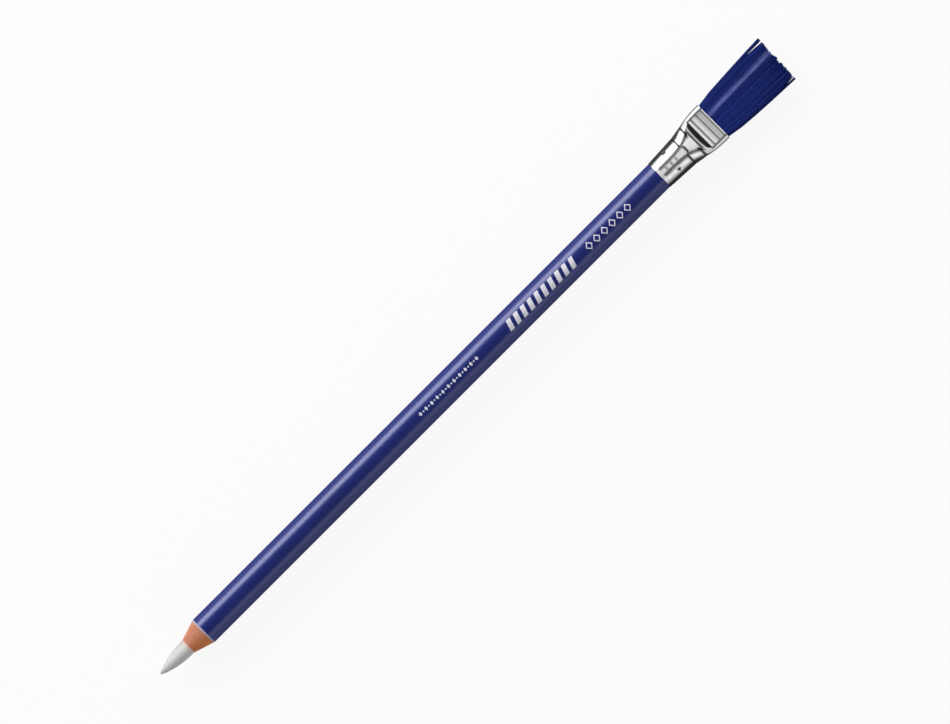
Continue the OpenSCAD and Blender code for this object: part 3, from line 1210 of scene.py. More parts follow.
    def press(self, s: float, column: int, inset: float) -> tuple[Vector, float, float]:
        """Find where the press leaves a point of the sheet.

        Args:
            s: The place along the ferrule.
            column: The column round the whole section.
            inset: How far inside the outer face the point lies.

        Returns:
            The point with x along the ferrule, and the height and the distance from the middle
            that it had before the dimples and the lines.
        """
        quarter, along = divmod(column % self.ring_cols, self.quarter_cols)
        if quarter % 2:
            along = self.quarter_cols - along
        height, wide = self.section_point(s, along, inset)
        height *= 1 if quarter in (0, 3) else -1
        wide *= 1 if quarter < 2 else -1
        dent = self.dimple(s, height, wide)
        line = self.line(s, wide) if inset == 0 else 0.0
        inward = 1 - (self.dimple_depth * dent + self.line_depth * line) / math.hypot(height, wide)
        moved = self.bow(s, wide) - (self.step_back(s) if inset > 0 else 0.0)
        return Vector((s + moved, wide * inward, height * inward)), height, wide

    def polish(self, s: float, wide: float) -> float:
        """Find how bright the sheet is, which the press dulls on the flats.

        Args:
            s: The place along the ferrule.
            wide: The distance from the middle.

        Returns:
            The brightness, from 0 to 1.
        """
        flat = self.flat_half(s)
        start = 0.2 * ramp(self.corner_at, self.step_at, s)
        on_flank = ramp(flat + start, flat + start + 0.25, abs(wide))
        on_rise = 1 - ramp(flat - 0.1, flat, abs(wide))
        on_rise *= hump(self.panel_at + self.rise_len / 2, self.rise_len, s) ** 0.4
        return max(on_flank, on_rise)


@dataclass(frozen=True)
class PaintedShade:
    """Painted shade in the ferrule's press lines, creases, dimples, step and ribs, whose shares go
    from 0 to 1.

    Attributes:
        form: The press that shapes the ferrule.
        in_rim: Share in the line behind the rim.
        in_ring: Share in the fine rings, on the flat and on the sides.
        on_shoulder: Share between the shoulder's line and the step.
        in_crease: Share in the creases beside the flat.
        in_dimple: Share in the dimples, which is held at 1.
        in_corner: Share where a crease meets its rail, which is held at 1.
        in_rib: Share in the lines beside the ribs.
        on_ribs: Share on the ribs next to the lip.
        at_rail: Share at the foot of the rails, on the shaded side and on the lit side.
        on_flank: Share of painted dark reflection low on the flanks.
        edge: How sharply a shaded stretch ends.
        shoulder_back: How far before the shoulder its dark line lies.
        step_from: How far before the step its painted shade starts, and how far before it is full.
        rib_lag: How far past a rib's start its dark line lies.
        lip_lag: The same at the lip.
        ribs_from: How far past the first rib the grey on the ribs starts, and where it is full.
        flank_from: How high on a flank the dark starts, on the grip and past the shoulder.
        flank_full: The same for where it is full.
        at_middle: How much of it is left at the middle plane.
    """

    form: PressForm
    in_rim: float = 0.25
    in_ring: tuple[float, float] = (0.66, 0.12)
    on_shoulder: float = 0.24
    in_crease: float = 0.86
    in_dimple: float = 1.12
    in_corner: float = 1.25
    in_rib: float = 0.92
    on_ribs: float = 0.37
    at_rail: tuple[float, float] = (0.92, 0.92 * 0.74)
    on_flank: float = 0.95
    edge: float = 0.1
    shoulder_back: float = 0.16
    step_from: tuple[float, float] = (0.35, 0.1)
    rib_lag: float = 0.14
    lip_lag: float = 0.06
    ribs_from: tuple[float, float] = (0.8, 1.6)
    flank_from: tuple[float, float] = (0.75, 0.7)
    flank_full: tuple[float, float] = (0.58, 0.45)
    at_middle: float = 0.55

    def share(self, s: float, height: float, wide: float) -> float:
        """Say how much painted shade a point gets.

        Args:
            s: The place along the ferrule.
            height: The point's height over the middle plane.
            wide: Its distance from the middle.

        Returns:
            The share of painted shade.
        """
        return max(
            self.across(s, abs(wide)),
            self.beside_flat(s, abs(wide)),
            min(1.0, self.in_dimple * self.form.dimple(s, height, wide)),
            self.on_panel(s, abs(wide)),
            self.along_rail(s, wide),
            self.low_down(s, abs(height)),
        )

    def across(self, s: float, side: float) -> float:
        """Find the share in the lines that run across the ferrule or round it.

        Args:
            s: The place along the ferrule.
            side: The distance from the middle, to either side.

        Returns:
            The share of painted shade, from 0 to 1.
        """
        f = self.form
        on_side = f.on_side(s, side)
        behind_shoulder = (f.shoulder_at, f.shoulder_at + 2 * self.edge)
        ring = mix(*self.in_ring, on_side)
        return max(
            self.in_rim * hump(f.rim_len, f.line_half, s),
            hump(f.grip_len, 1.5 * f.fold_half, s) ** 0.7,
            on_side * hump(f.corner_at, 1.3 * f.fold_half, s) ** 0.8,
            (1 - on_side) * hump(f.shoulder_at - self.shoulder_back, 2.0 * f.line_half, s),
            (1 - on_side) * self.on_shoulder * plateau(behind_shoulder, self.panel_edge, s),
            *(ring * hump(at, 2.4 * f.line_half, s) for at in f.faint_rings),
        )

    def beside_flat(self, s: float, side: float) -> float:
        """Find the share in the creases beside the flat, and where they meet the rails.

        Args:
            s: The place along the ferrule.
            side: The distance from the middle, to either side.

        Returns:
            The share of painted shade, from 0 to 1.
        """
        f = self.form
        off = side - f.flat_half(s)
        stretch = plateau((f.rim_len, f.rim_len + f.rim_blend), (f.corner_at, f.step_at), s)
        corner = min(1.0, self.in_corner * hump(0, 1.0, math.hypot(s - f.corner_at, off)))
        return max(self.in_crease * hump(0, 0.6, off) * stretch, corner)

    @property
    def panel_edge(self) -> tuple[float, float]:
        """Where the painted shade in front of the panel ends."""
        return self.form.panel_at - self.edge, self.form.panel_at + self.edge

    def on_panel(self, s: float, side: float) -> float:
        """Find the painted shade on the step, which is black with it, and between the panel's ribs.

        Args:
            s: The place along the ferrule.
            side: The distance from the middle, to either side.

        Returns:
            The share of painted shade, from 0 to 1.
        """
        f = self.form
        flat = f.flat_half(s)
        before_step = (f.step_at - self.step_from[0], f.step_at - self.step_from[1])
        step = plateau(before_step, self.panel_edge, s)
        starts = (f.ribs_at + self.rib_lag, (f.ribs_at + f.lip_at) / 2 + self.rib_lag)
        lines = (*starts, f.lip_at + self.lip_lag)
        ribs = max(self.in_rib * hump(at, f.fold_half, s) for at in lines)
        past_rib = (f.ribs_at + self.ribs_from[0], f.ribs_at + self.ribs_from[1])
        grey = self.on_ribs * plateau(past_rib, (f.lip_at, f.mouth_at), s)
        ribs = max(ribs, grey) * ramp(f.panel_at, f.ribs_at, s)
        return max(step, ribs) * (1 - ramp(flat - 0.05, flat + 0.05, side))

    def along_rail(self, s: float, wide: float) -> float:
        """Find the painted shade at the foot of the rails, which is lighter on the lit side.

        Args:
            s: The place along the ferrule.
            wide: The distance from the middle.

        Returns:
            The share of painted shade, from 0 to 1.
        """
        f = self.form
        flat = f.flat_half(s)
        foot = min(1.0, 1.4 * hump(flat + 0.5 * f.rail_wall, f.fold_half, abs(wide)))
        # Painted shade: darker on the -Y side, away from the lamp, than on the lit +Y side.
        return mix(*self.at_rail, ramp(-flat, flat, wide)) * foot * ramp(f.step_at, f.panel_at, s)

    def low_down(self, s: float, height: float) -> float:
        """Find the painted dark reflection that darkens the flanks towards the middle plane.

        Args:
            s: The place along the ferrule.
            height: The distance from the middle plane.

        Returns:
            The share of painted dark reflection, from 0 to 1.
        """
        f = self.form
        low = height / mix(f.grip_r, f.mouth_t / 2, ramp(f.grip_len, f.panel_at, s))
        squared = ramp(f.grip_len - 0.5, f.shoulder_at, s)
        dark = ramp(mix(*self.flank_from, squared), mix(*self.flank_full, squared), low)
        # Painted dark reflection: the flanks darken towards the middle plane.
        return self.on_flank * dark * mix(self.at_middle, 1.0, ramp(0.05, 0.4, low))


@dataclass
class Ferrule:
    """The ferrule, spun from its outline and then pressed.

    Attributes:
        places: The pencil's stations.
        form: The press that shapes it.
        edge_round: How far the cut edges of the sheet are rounded.
        outer_r: Radius that the outer face is spun at, before it is pressed.
        inner_r: The same for the inner face.
    """

    places: Places
    form: PressForm = field(default_factory=PressForm)
    edge_round: float = 0.05
    outer_r: float = 5.0
    inner_r: float = 4.0

    def outline(self) -> list[tuple[float, float, int]]:
        """Lay out the breaks of the outline as (s, radius, how many places to the next).

        The radius only says which face of the sheet a place is on, until it is pressed.

        Returns:
            The breaks, once round the wall of the sheet.
        """
        f = self.form
        dimple_end = f.dimple_reach + 0.15
        outer = [
            (0.0, 2), (f.rim_len - f.line_half, 8), (f.rim_len + f.line_half, 10),
            (f.dimple_at - dimple_end, 18), (f.dimple_at + dimple_end, 10),
            (f.grip_len - f.fold_half, 10), (f.grip_len + f.fold_half, 10),
            (f.corner_at - f.fold_half, 10), (f.corner_at + f.fold_half, 3),
            (f.shoulder_at - f.line_half, 7), (f.shoulder_at + f.line_half, 4),
            (f.step_at, 12), (f.panel_at, 8), (f.ribs_at, 30), (f.lip_at, 6), (f.mouth_at, 1),
        ]
        middle = (self.outer_r + self.inner_r) / 2
        inner = [
            (f.mouth_at, 1), (f.lip_at, 3), (f.ribs_at, 3), (f.panel_at, 5), (f.step_at, 4),
            (f.corner_at, 3), (f.grip_len, 3), (f.dimple_at + dimple_end, 8),
            (f.dimple_at - dimple_end, 3), (0.0, 1),
        ]
        return (
            [(s, self.outer_r, n) for s, n in outer]
            + [(f.mouth_at, middle, 1)]
            + [(s, self.inner_r, n) for s, n in inner]
            + [(0.0, middle, 1)]
        )

    def build(self) -> bpy.types.Object:
        """Spin the outline, press every point, and put the ferrule in its place.

        Returns:
            The ferrule.
        """
        form = bmesh.new()
        breaks = self.outline()
        corners = [form.verts.new((s, 0.0, r)) for s, r, _ in breaks]
        edges = [form.edges.new(ends) for ends in zip(corners, corners[1:] + corners[:1])]
        for edge, (_, _, count) in zip(edges, breaks):
            if count > 1:
                bmesh.ops.subdivide_edges(form, edges=[edge], cuts=count - 1)
        bmesh.ops.spin(
            form, geom=form.verts[:] + form.edges[:], cent=(0.0, 0.0, 0.0), axis=(1.0, 0.0, 0.0),
            dvec=(0.0, 0.0, 0.0), angle=math.tau, steps=self.form.ring_cols,
            use_merge=True, use_duplicate=False,
        )
        bmesh.ops.remove_doubles(form, verts=form.verts, dist=1e-4)
        # Per point: its painted shade, and how bright the sheet is.
        painted_shade = form.verts.layers.float.new("painted_shade")
        polish = form.verts.layers.float.new("polish")
        shade_map = PaintedShade(self.form)
        for vert in form.verts:
            self._press(vert, shade_map, painted_shade, polish)
        bmesh.ops.recalc_face_normals(form, faces=form.faces)
        for face in form.faces:
            face.smooth = True
        return finish_mesh(form, "ferrule_pressed", self.places)

    def _press(self, vert: bmesh.types.BMVert, shade_map: PaintedShade, painted_shade: Any, polish: Any) -> None:
        """Move one point of the spun wall to where the press leaves it.

        Args:
            vert: The point.
            shade_map: Where the painted shade goes.
            painted_shade: The layer that keeps its painted shade.
            polish: The layer that keeps how bright it is.
        """
        s, radius = vert.co.x, math.hypot(vert.co.y, vert.co.z)
        turn = math.atan2(vert.co.y, vert.co.z) % math.tau
        column = round(turn / math.tau * self.form.ring_cols)
        depth = round(2 * (self.outer_r - radius) / (self.outer_r - self.inner_r)) / 2
        point, height, wide = self.form.press(s, column, depth * self.form.sheet_t)
        vert[polish] = self.form.polish(s, point.y)
        if depth == 0.5:
            point.x += math.copysign(self.edge_round, s - self.form.grip_len)
        vert.co = point + Vector((self.places.ferrule, 0.0, 0.0))
        # Only the outer face gets painted shade.
        vert[painted_shade] = shade_map.share(s, height, wide) if depth == 0 else 0.0

    def dress(self, piece: bpy.types.Object, effects: SharedEffects) -> None:
        """Give the ferrule its finish and its place in the frame.

        Args:
            piece: The piece's object.
            effects: The shared node groups.
        """
        wear(piece, SheetFinish().make(effects))
        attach(piece, "root")
        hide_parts("ferrule")


# ---------- brush ----------


@dataclass(frozen=True)
class BristlePath:
    """One bristle's way from its root to its tip, in millimetres from the pencil's axis.

    Attributes:
        across: Where it stands across the brush, from -1 to 1.
        above: Where it stands through the brush, from -1 to 1.
        length: How far along the brush it reaches.
        tip_pull: How far its tip leans to one side, towards its clump.
        wave: How much it wavers.
        phase: Where its waver starts.
        tone: How light it is, with the painted highlight added in its stripe.
    """

    across: float
    above: float
    length: float
    tip_pull: float
    wave: float
    phase: float
    tone: float


@dataclass
class Brush:
    """The tuft of bristles, fanned a little, with loose ones at its two edges.

    Attributes:
        places: The pencil's stations.
        rows: How many bristles there are through the tuft.
        columns: How many there are across its widest row.
        radius: A bristle's radius.
        root_half: Half the tuft's width at the mouth.
        end_half: Half its width over the loose bristles' tips.
        root_half_t: Half its thickness at the mouth.
        end_half_t: Half its thickness at the tips.
        pull: How far the tuft draws in from its loose edge bristles near the tips, on each side.
        draws_in: Where, from 0 to 1 across, the tuft starts to draw in, and where it does fully.
        swept: How far the whole tuft leans to one side.
        root_pinch: Its thickness inside the ferrule, as a share of that at the mouth.
        loose_from: Where, from 0 to 1 across, the loose bristles start, on each side.
        parts_at: Where, from the mouth to the tips, they part from the tuft, on each side.
        seed: Start of the repeatable scatter.
        clumps: How many clumps the bristles gather in.
        clump_reach: How far from its middle a clump's bristles stay as long as it is.
        clump_draw: How strongly the tips draw to the middle of their clump.
        ragged: How much shorter than their clump the bristles at its edges may be.
        longer_side: How much shorter the brush is on its one side than on the other.
        highlight_at: Where the painted highlight lies across the tuft, from -1 to 1.
        highlight_half: Half the width of that stripe.
        sides: How many sides a bristle has.
        joints: How many lengths it bends in.
    """

    places: Places
    rows: int = 9
    columns: int = 56
    radius: float = 0.14
    root_half: float = 4.93
    end_half: float = 6.5
    root_half_t: float = 0.93
    end_half_t: float = 1.1
    pull: tuple[float, float] = (0.6, 0.85)
    draws_in: tuple[float, float] = (0.6, 0.93)
    swept: float = 0.07
    root_pinch: float = 0.86
    loose_from: tuple[float, float] = (0.925, 0.895)
    parts_at: tuple[float, float] = (0.78, 0.66)
    seed: int = 11
    clumps: int = 17
    clump_reach: float = 0.06
    clump_draw: float = 1.6
    ragged: float = 0.3
    longer_side: float = 0.22
    highlight_at: float = 0.35
    highlight_half: float = 0.21
    sides: int = 6
    joints: int = 6

    def paths(self) -> list[BristlePath]:
        """Scatter the bristles over the tuft.

        Returns:
            Every bristle's way.
        """
        chance = random.Random(self.seed)
        clumps = [
            (2 * (i + chance.uniform(0.2, 0.8)) / self.clumps - 1, chance.uniform(-0.35, 0.45))
            for i in range(self.clumps)
        ]
        found = []
        for row in range(self.rows):
            above = 2 * row / (self.rows - 1) - 1
            reach = math.sqrt(1 - (0.45 * above) ** 2)
            for column in range(self.columns):
                across = reach * (2 * (column + chance.uniform(0.15, 0.85)) / self.columns - 1)
                found.append(self._path(across, above, clumps, chance))
        return found

    def _path(
        self, across: float, above: float, clumps: list[tuple[float, float]], chance: random.Random
    ) -> BristlePath:
        """Draw one bristle's length, lean, waver and tone, which holds the painted highlight.

        Args:
            across: Where it stands across the brush, from -1 to 1.
            above: Where its row stands through the brush, from -1 to 1.
            clumps: Each clump's middle, and how much longer its bristles are.
            chance: The repeatable scatter.

        Returns:
            The bristle's way.
        """
        clump, longer = min(clumps, key=lambda c: abs(c[0] - across))
        off = across - clump
        short = self.ragged * min(1.0, abs(off) / self.clump_reach) * chance.random()
        short += chance.uniform(0.0, 0.25) - 0.4 * longer + self.longer_side * (1 - across)
        # The tone is darker towards the tuft's two edges, and the painted highlight lightens a
        # stripe across it.
        tone = 0.2 + 0.08 * chance.random() - 0.2 * ramp(0.82, 1.0, abs(across))
        painted_shine = 0.65 * hump(self.highlight_at, self.highlight_half, across)
        return BristlePath(
            across=across,
            tone=tone + painted_shine * (0.8 + 0.2 * chance.random()),
            above=above + chance.uniform(-0.08, 0.08),
            length=self.places.brush_end - 0.08 - short,
            tip_pull=-off * self.clump_draw,
            wave=chance.uniform(0.0, 0.06),
            phase=chance.uniform(0.0, math.tau),
        )

    def place(self, path: BristlePath, p: float) -> Vector:
        """Find the middle of a bristle a share p of the way from the mouth to its tip.

        Args:
            path: The bristle.
            p: The share, which is below 0 inside the ferrule.

        Returns:
            The point, with the pencil's axis through the origin.
        """
        edge, side = abs(path.across), int(path.across > 0)
        loose = ramp(self.loose_from[side] - 0.01, self.loose_from[side], edge)
        drawn_in = self.pull[side] * ramp(*self.draws_in, edge) * (1 - loose)
        outside, steady = max(p, 0.0), clamp01(2 * p)
        y = path.across * mix(self.root_half, self.end_half, math.sqrt(outside))
        y -= self.swept * steady
        y -= math.copysign(drawn_in * ramp(self.parts_at[side], 1.0, p), path.across)
        y += 0.5 * (1 - loose) * path.tip_pull * ramp(0.7, 1.0, p)
        y += path.wave * math.sin(path.phase + 5.0 * p) * steady
        pinch = mix(self.root_pinch, 1.0, clamp01((p + 0.2) * 5))
        z = path.above * mix(self.root_half_t, self.end_half_t, outside) * pinch
        z += 0.7 * path.wave * math.sin(path.phase * 1.7 + 4.0 * p) * steady
        end = path.length if p > 0 else self.places.brush_end
        return Vector((mix(self.places.mouth, end, p), y, z))

    def build(self) -> bpy.types.Object:
        """Make one bristle from a cone, and bend a copy of it along each path.

        Returns:
            The tuft, a group of separate bristles.
        """
        pattern = bmesh.new()
        bmesh.ops.create_cone(
            pattern, cap_ends=True, segments=self.sides, radius1=1.0, radius2=0.7, depth=1.0
        )
        uprights = [e for e in pattern.edges if abs(e.verts[0].co.z - e.verts[1].co.z) > 0.5]
        bmesh.ops.subdivide_edges(
            pattern, edges=uprights, cuts=self.joints - 1, use_grid_fill=True
        )
        for face in pattern.faces:
            face.smooth = len(face.verts) == 4
        shape = bpy.data.meshes.new("bristle_pattern")
        pattern.to_mesh(shape)
        count = len(pattern.verts)
        pattern.free()
        tuft = bmesh.new()
        paths = self.paths()
        for path in paths:
            tuft.from_mesh(shape)
            tuft.verts.ensure_lookup_table()
            for vert in tuft.verts[-count:]:
                self._bend(vert, path)
        bpy.data.meshes.remove(shape)
        # The tone layer also holds the painted highlight stripe.
        tone = tuft.verts.layers.float.new("tone")
        for index, vert in enumerate(tuft.verts):
            vert[tone] = paths[index // count].tone
        return finish_mesh(tuft, "brush_tuft", self.places)

    def _bend(self, vert: bmesh.types.BMVert, path: BristlePath) -> None:
        """Move one point of the straight pattern onto its bristle's path.

        Args:
            vert: The point.
            path: The bristle.
        """
        mouth, reach = self.places.mouth, self.places.brush_end - self.places.mouth
        p = mix((self.places.roots - mouth) / reach, 1.0, vert.co.z + 0.5)
        spread = vert.co.to_2d() * self.radius
        vert.co = self.place(path, p) + Vector((0.0, spread.x, spread.y))

    def dress(self, piece: bpy.types.Object, effects: SharedEffects) -> None:
        """Give the tuft its finish and its place in the frame.

        Args:
            piece: The piece's object.
            effects: The shared node groups.
        """
        wear(piece, BristleFinish().make(effects))
        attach(piece, "root")
        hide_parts("bristles")


# ---------- foil marks ----------


class Mark(enum.Enum):
    """The plain shapes that are stamped along the barrel."""

    STUD = "stud"
    BAR = "bar"
    LOZENGE = "lozenge"


@dataclass(frozen=True)
class MarkRow:
    """A row of one shape, stamped along the top of the barrel.

    Attributes:
        name: The piece's name.
        mark: The shape.
        start: Station where the row starts, in millimetres.
        end: Station where it ends.
        count: How many shapes it has.
        tall: A shape's size round the barrel.
        long: A shape's size along the barrel.
        lean: How far a shape leans, as a share of its height.
        stroke: Width of an open shape's outline.
    """

    name: str
    mark: Mark
    start: float
    end: float
    count: int
    tall: float
    long: float
    lean: float = 0.0
    stroke: float = 0.2


@dataclass
class FoilMarks:
    """Rows of plain white shapes, stamped into the lacquer.

    Attributes:
        places: The pencil's stations.
        rows: The rows.
        stand: How far the foil's inner face stands over the lacquer.
        foil_t: The foil's thickness.
        strip: How finely a shape is cut before it is wrapped round the barrel.
        dot: Size of the dots between the studs.
    """

    places: Places
    rows: tuple[MarkRow, ...] = (
        MarkRow("marks_fine", Mark.STUD, -16.375, 2.875, 21, 1.15, 0.85),
        MarkRow("marks_bold", Mark.BAR, 13.0, 34.6, 10, 2.7, 1.25, lean=0.3),
        MarkRow("marks_open", Mark.LOZENGE, 38.6, 53.2, 6, 2.3, 2.0, stroke=0.26),
    )
    stand: float = 0.014
    foil_t: float = 0.008
    strip: float = 0.3
    dot: float = 0.42

    def shape(self, form: bmesh.types.BMesh, row: MarkRow, index: int) -> list[bmesh.types.BMVert]:
        """Make one flat shape round the origin.

        Args:
            form: The mesh it is made in.
            row: The row it belongs to.
            index: Its number in the row.

        Returns:
            Its points.
        """
        if row.mark is Mark.BAR:
            made = bmesh.ops.create_grid(form, x_segments=1, y_segments=1, size=0.5)
            size = (row.long, row.tall)
        elif row.mark is Mark.STUD:
            sides, size = (12, (self.dot, self.dot)) if index % 2 else (4, (row.long, row.tall))
            made = bmesh.ops.create_circle(form, cap_ends=True, segments=sides, radius=0.5)
        else:
            known = set(form.verts)
            made = bmesh.ops.create_circle(form, cap_ends=True, segments=4, radius=0.5)
            face = made["verts"][0].link_faces[0]
            bmesh.ops.scale(form, vec=(row.long, row.tall, 1.0), verts=made["verts"])
            bmesh.ops.inset_region(
                form, faces=[face], thickness=row.stroke, use_boundary=True, use_even_offset=True
            )
            bmesh.ops.delete(form, geom=[face], context="FACES_ONLY")
            made = {"verts": [vert for vert in form.verts if vert not in known]}
            size = (1.0, 1.0)
        verts = made["verts"]
        bmesh.ops.scale(form, vec=(*size, 1.0), verts=verts)
        lean = Matrix(((1, row.lean, 0, 0), (0, 1, 0, 0), (0, 0, 1, 0), (0, 0, 0, 1)))
        bmesh.ops.transform(form, matrix=lean, verts=verts)
        return verts

    def build(self, row: MarkRow) -> bpy.types.Object:
        """Lay out a row flat, cut it into strips, wrap it round the barrel and thicken it.

        Args:
            row: The row.

        Returns:
            The row of foil shapes.
        """
        form = bmesh.new()
        for index in range(row.count):
            verts = self.shape(form, row, index)
            at = mix(row.start + row.long / 2, row.end - row.long / 2, index / (row.count - 1))
            bmesh.ops.translate(form, vec=(at, 0.0, 0.0), verts=verts)
        cuts = math.ceil(row.tall / 2 / self.strip)
        for step in range(-cuts, cuts + 1):
            bmesh.ops.bisect_plane(
                form, geom=form.verts[:] + form.edges[:] + form.faces[:], dist=1e-5,
                plane_co=(0.0, step * self.strip, 0.0), plane_no=(0.0, 1.0, 0.0),
            )
        radius = self.places.barrel_r + self.stand
        for vert in form.verts:
            angle = vert.co.y / radius
            vert.co = Vector((vert.co.x, radius * math.sin(angle), radius * math.cos(angle)))
        bmesh.ops.recalc_face_normals(form, faces=form.faces)
        outward = sum(face.normal.z * face.calc_area() for face in form.faces)
        if outward < 0:
            bmesh.ops.reverse_faces(form, faces=form.faces)
        bmesh.ops.solidify(form, geom=form.faces[:], thickness=self.foil_t)
        return finish_mesh(form, row.name, self.places)

    def dress(self, piece: bpy.types.Object, material: bpy.types.Material) -> None:
        """Give a row its finish and its place in the frame.

        Args:
            piece: The row's object.
            material: The foil.
        """
        wear(piece, material)
        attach(piece, "root")


# ---------- studio ----------


@dataclass
class Studio:
    """A plain pale floor, one long soft lamp, a soft sky and the camera above.

    Attributes:
        view_width: Width of the camera's view, in metres.
        look_at: Where the middle of the view is, in metres.
        camera_at: Height of the camera, in metres.
        roll: How the pencil lies across the view, in degrees.
        lamp_size: Length and width of the lamp, in metres.
        lamp_lean: Angle of the lamp from straight above, towards +Y, in degrees.
        lamp_away: The lamp's distance, in metres.
        lamp_power: The lamp's power, in watts.
        sky: Level of the sky on dull surfaces.
        zenith: Level of the sky straight above, as gloss shows it.
        panels_from: Height at which the bright panels start below it, and where they are full.
        behind: Where the sky above starts to be bright too, towards -X, and where it is fully.
        ahead: The same towards +X.
        ends: How far towards either end the room starts to darken, and where it is dark.
        end_level: Level of its dark ends.
        horizon_level: Level at the horizon.
        horizon_top: Height from which the horizon's dusk no longer shows.
        floor_half: Half the floor's size, in metres.
        floor_share: How much of the floor's own light and shade the camera sees.
        floor_share_in_gloss: The same for reflections.
        floor_tone: The floor's colour.
    """

    view_width: float = 0.2215
    look_at: tuple[float, float] = (0.0016, -0.000375)
    camera_at: float = 0.6
    roll: float = -45.0
    lamp_size: tuple[float, float] = (1.2, 0.5)
    lamp_lean: float = 64.0
    lamp_away: float = 0.9
    lamp_power: float = 9.0
    sky: float = 0.47
    zenith: float = 0.0
    panels_from: tuple[float, float] = (0.88, 0.56)
    behind: tuple[float, float] = (-0.05, -0.25)
    ahead: tuple[float, float] = (0.42, 0.6)
    ends: tuple[float, float] = (0.8, 0.95)
    end_level: float = 0.05
    horizon_level: float = 0.2
    horizon_top: float = 0.4
    floor_half: float = 2.0
    floor_share: float = 0.1
    floor_share_in_gloss: float = 0.95
    floor_tone: Colour = (0.9, 0.9, 0.9)

    WHITE = rgba((1.0, 1.0, 1.0))

    def build(self, effects: SharedEffects) -> None:
        """Make the camera, the lamp, the sky and the floor.

        Args:
            effects: The shared node groups.
        """
        self._camera()
        self._lamp()
        self._sky()
        self._floor(effects)
        bpy.context.scene.view_settings.view_transform = "Standard"

    def _camera(self) -> None:
        """Look straight down, turned so that the pencil runs up to the right."""
        lens = bpy.data.cameras.new("camera")
        lens.type = "ORTHO"
        lens.ortho_scale = self.view_width
        lens.clip_end = 10.0
        camera = add_object("camera", lens)
        camera.location = (*self.look_at, self.camera_at)
        camera.rotation_euler = (0.0, 0.0, math.radians(self.roll))
        bpy.context.scene.camera = camera

    def _lamp(self) -> None:
        """Hang the long soft lamp parallel to the pencil."""
        light = bpy.data.lights.new("softbox", "AREA")
        light.shape = "RECTANGLE"
        light.size, light.size_y = self.lamp_size
        light.energy = self.lamp_power
        lamp = add_object("softbox", light)
        lean = math.radians(self.lamp_lean)
        lamp.location = (0.0, math.sin(lean) * self.lamp_away, math.cos(lean) * self.lamp_away)
        lamp.rotation_mode = "QUATERNION"
        lamp.rotation_quaternion = (-Vector(lamp.location)).to_track_quat("-Z", "Y")
        lamp.visible_camera = False

    @staticmethod
    def _shiny(wires: Wiring, rays: Any) -> Socket:
        """Return 1 for what gloss or glass shows, and 0 for the rest."""
        return wires.calc("MAXIMUM", rays["Is Glossy Ray"], rays["Is Transmission Ray"])

    @staticmethod
    def _either(wires: Wiring, share: Value, a: ShaderNode, b: ShaderNode) -> ShaderNode:
        """Return shader a mixed with shader b by the share."""
        return wires.add("MixShader", {0: share, 1: a.outputs[0], 2: b.outputs[0]})

    def _sky(self) -> None:
        """Light the dull surfaces evenly, and show a pale studio to the camera and in gloss."""
        world = bpy.data.worlds.new("studio")
        world.use_nodes = True
        bpy.context.scene.world = world
        world.node_tree.nodes.clear()
        wires = Wiring(world.node_tree)
        way = wires.add("SeparateXYZ", {0: wires.add("TexCoord").outputs["Generated"]}).outputs
        panels = wires.span(way["Z"], *self.panels_from, self.zenith, 1.0)
        behind = wires.span(way["X"], *self.behind)
        ahead = wires.span(way["X"], *self.ahead)
        panels = wires.calc("MAXIMUM", panels, wires.calc("MAXIMUM", behind, ahead))
        endwise = wires.span(wires.calc("ABSOLUTE", way["X"]), *self.ends, 1.0, self.end_level)
        horizon = wires.span(way["Z"], 0.0, self.horizon_top, self.horizon_level, 1.0)
        seen = wires.calc("MULTIPLY", wires.calc("MULTIPLY", panels, endwise), horizon)
        grey = wires.add("CombineXYZ", {0: seen, 1: seen, 2: seen}).outputs[0]
        rays = wires.add("LightPath").outputs
        in_gloss = wires.add("Background", {"Color": grey, "Strength": 1.0})
        to_eye = wires.add("Background", {"Color": self.WHITE, "Strength": 1.0})
        on_dull = wires.add("Background", {"Color": self.WHITE, "Strength": self.sky})
        lit = self._either(wires, self._shiny(wires, rays), on_dull, in_gloss)
        shown = self._either(wires, rays["Is Camera Ray"], lit, to_eye)
        out = wires.add("OutputWorld", {"Surface": shown.outputs[0]})
        out.is_active_output = True

    def _floor(self, effects: SharedEffects) -> None:
        """Lay the pale floor, which keeps the pencil's shadow and is clear from below.

        Args:
            effects: The shared node groups.
        """
        form = bmesh.new()
        bmesh.ops.create_grid(form, x_segments=1, y_segments=1, size=self.floor_half)
        mesh = bpy.data.meshes.new("floor")
        form.to_mesh(mesh)
        form.free()
        floor = add_object("floor", mesh)
        board = Surface("floor", effects)
        tone = board.mottle(scale=8.0, low=0.99, high=1.0)
        board.coat({
            "Base Color": board.blend(1.0, rgba(self.floor_tone), tone, "MULTIPLY"),
            "Roughness": 0.9,
            "Specular IOR Level": 0.1,
        })
        rays = board.add("LightPath").outputs
        white = board.add("Emission", {"Color": self.WHITE, "Strength": 1.0})
        in_gloss = board.calc("MULTIPLY", self._shiny(board, rays), 1.0 - self.floor_share_in_gloss)
        share = board.calc("MULTIPLY_ADD", rays["Is Camera Ray"], 1.0 - self.floor_share, in_gloss)
        face = self._either(board, share, board.shader, white)
        under = board.add("NewGeometry").outputs["Backfacing"]
        both = self._either(board, under, face, board.add("BsdfTransparent"))
        board.feed(board.tree.nodes["Material Output"].inputs["Surface"], both.outputs[0])
        mesh.materials.append(board.material)


def report(piece: bpy.types.Object) -> None:
    """Log a piece's name and how many faces it has."""
    log.info("%s: %d faces", piece.name, len(piece.data.polygons))


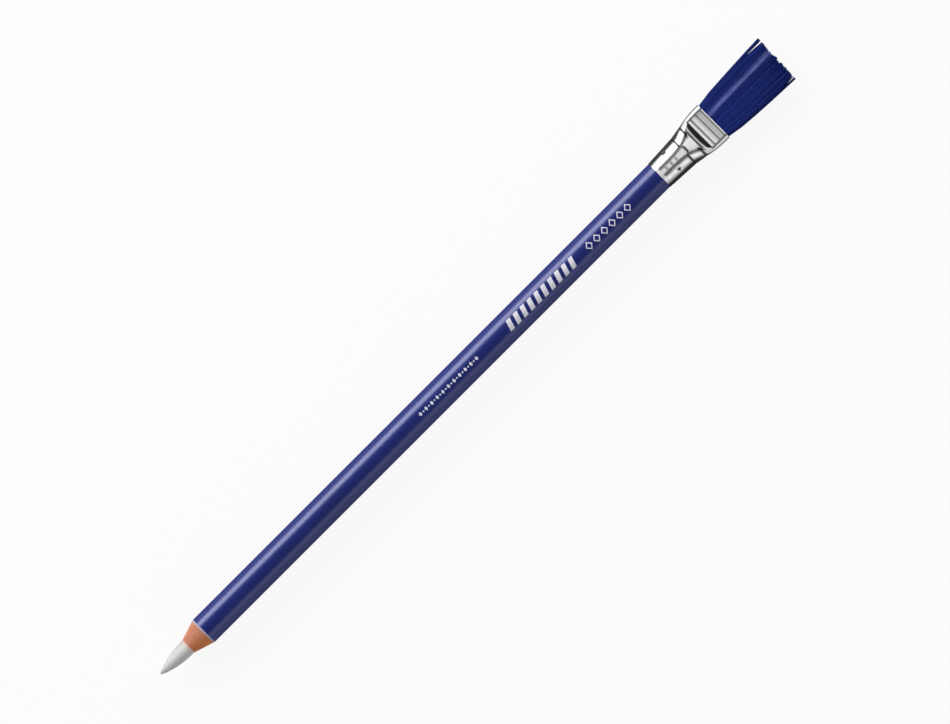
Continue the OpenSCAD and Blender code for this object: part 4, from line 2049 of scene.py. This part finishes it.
def main() -> None:
    """Build the studio, then every piece in order, and report each one."""
    logging.basicConfig(level=logging.INFO, format="%(message)s")
    for thing in list(bpy.data.objects):
        bpy.data.objects.remove(thing)
    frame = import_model()
    places = Places.read()
    effects = SharedEffects()
    Studio().build(effects)

    for piece in Pencil(places, frame["nodes"]).dress(effects):
        report(piece)

    for assembly in (Ferrule(places), Brush(places)):
        piece = assembly.build()
        assembly.dress(piece, effects)
        report(piece)

    marks = FoilMarks(places)
    foil = FoilFinish().make(effects)
    for row in marks.rows:
        strip = marks.build(row)
        marks.dress(strip, foil)
        report(strip)


if __name__ == "__main__":
    main()
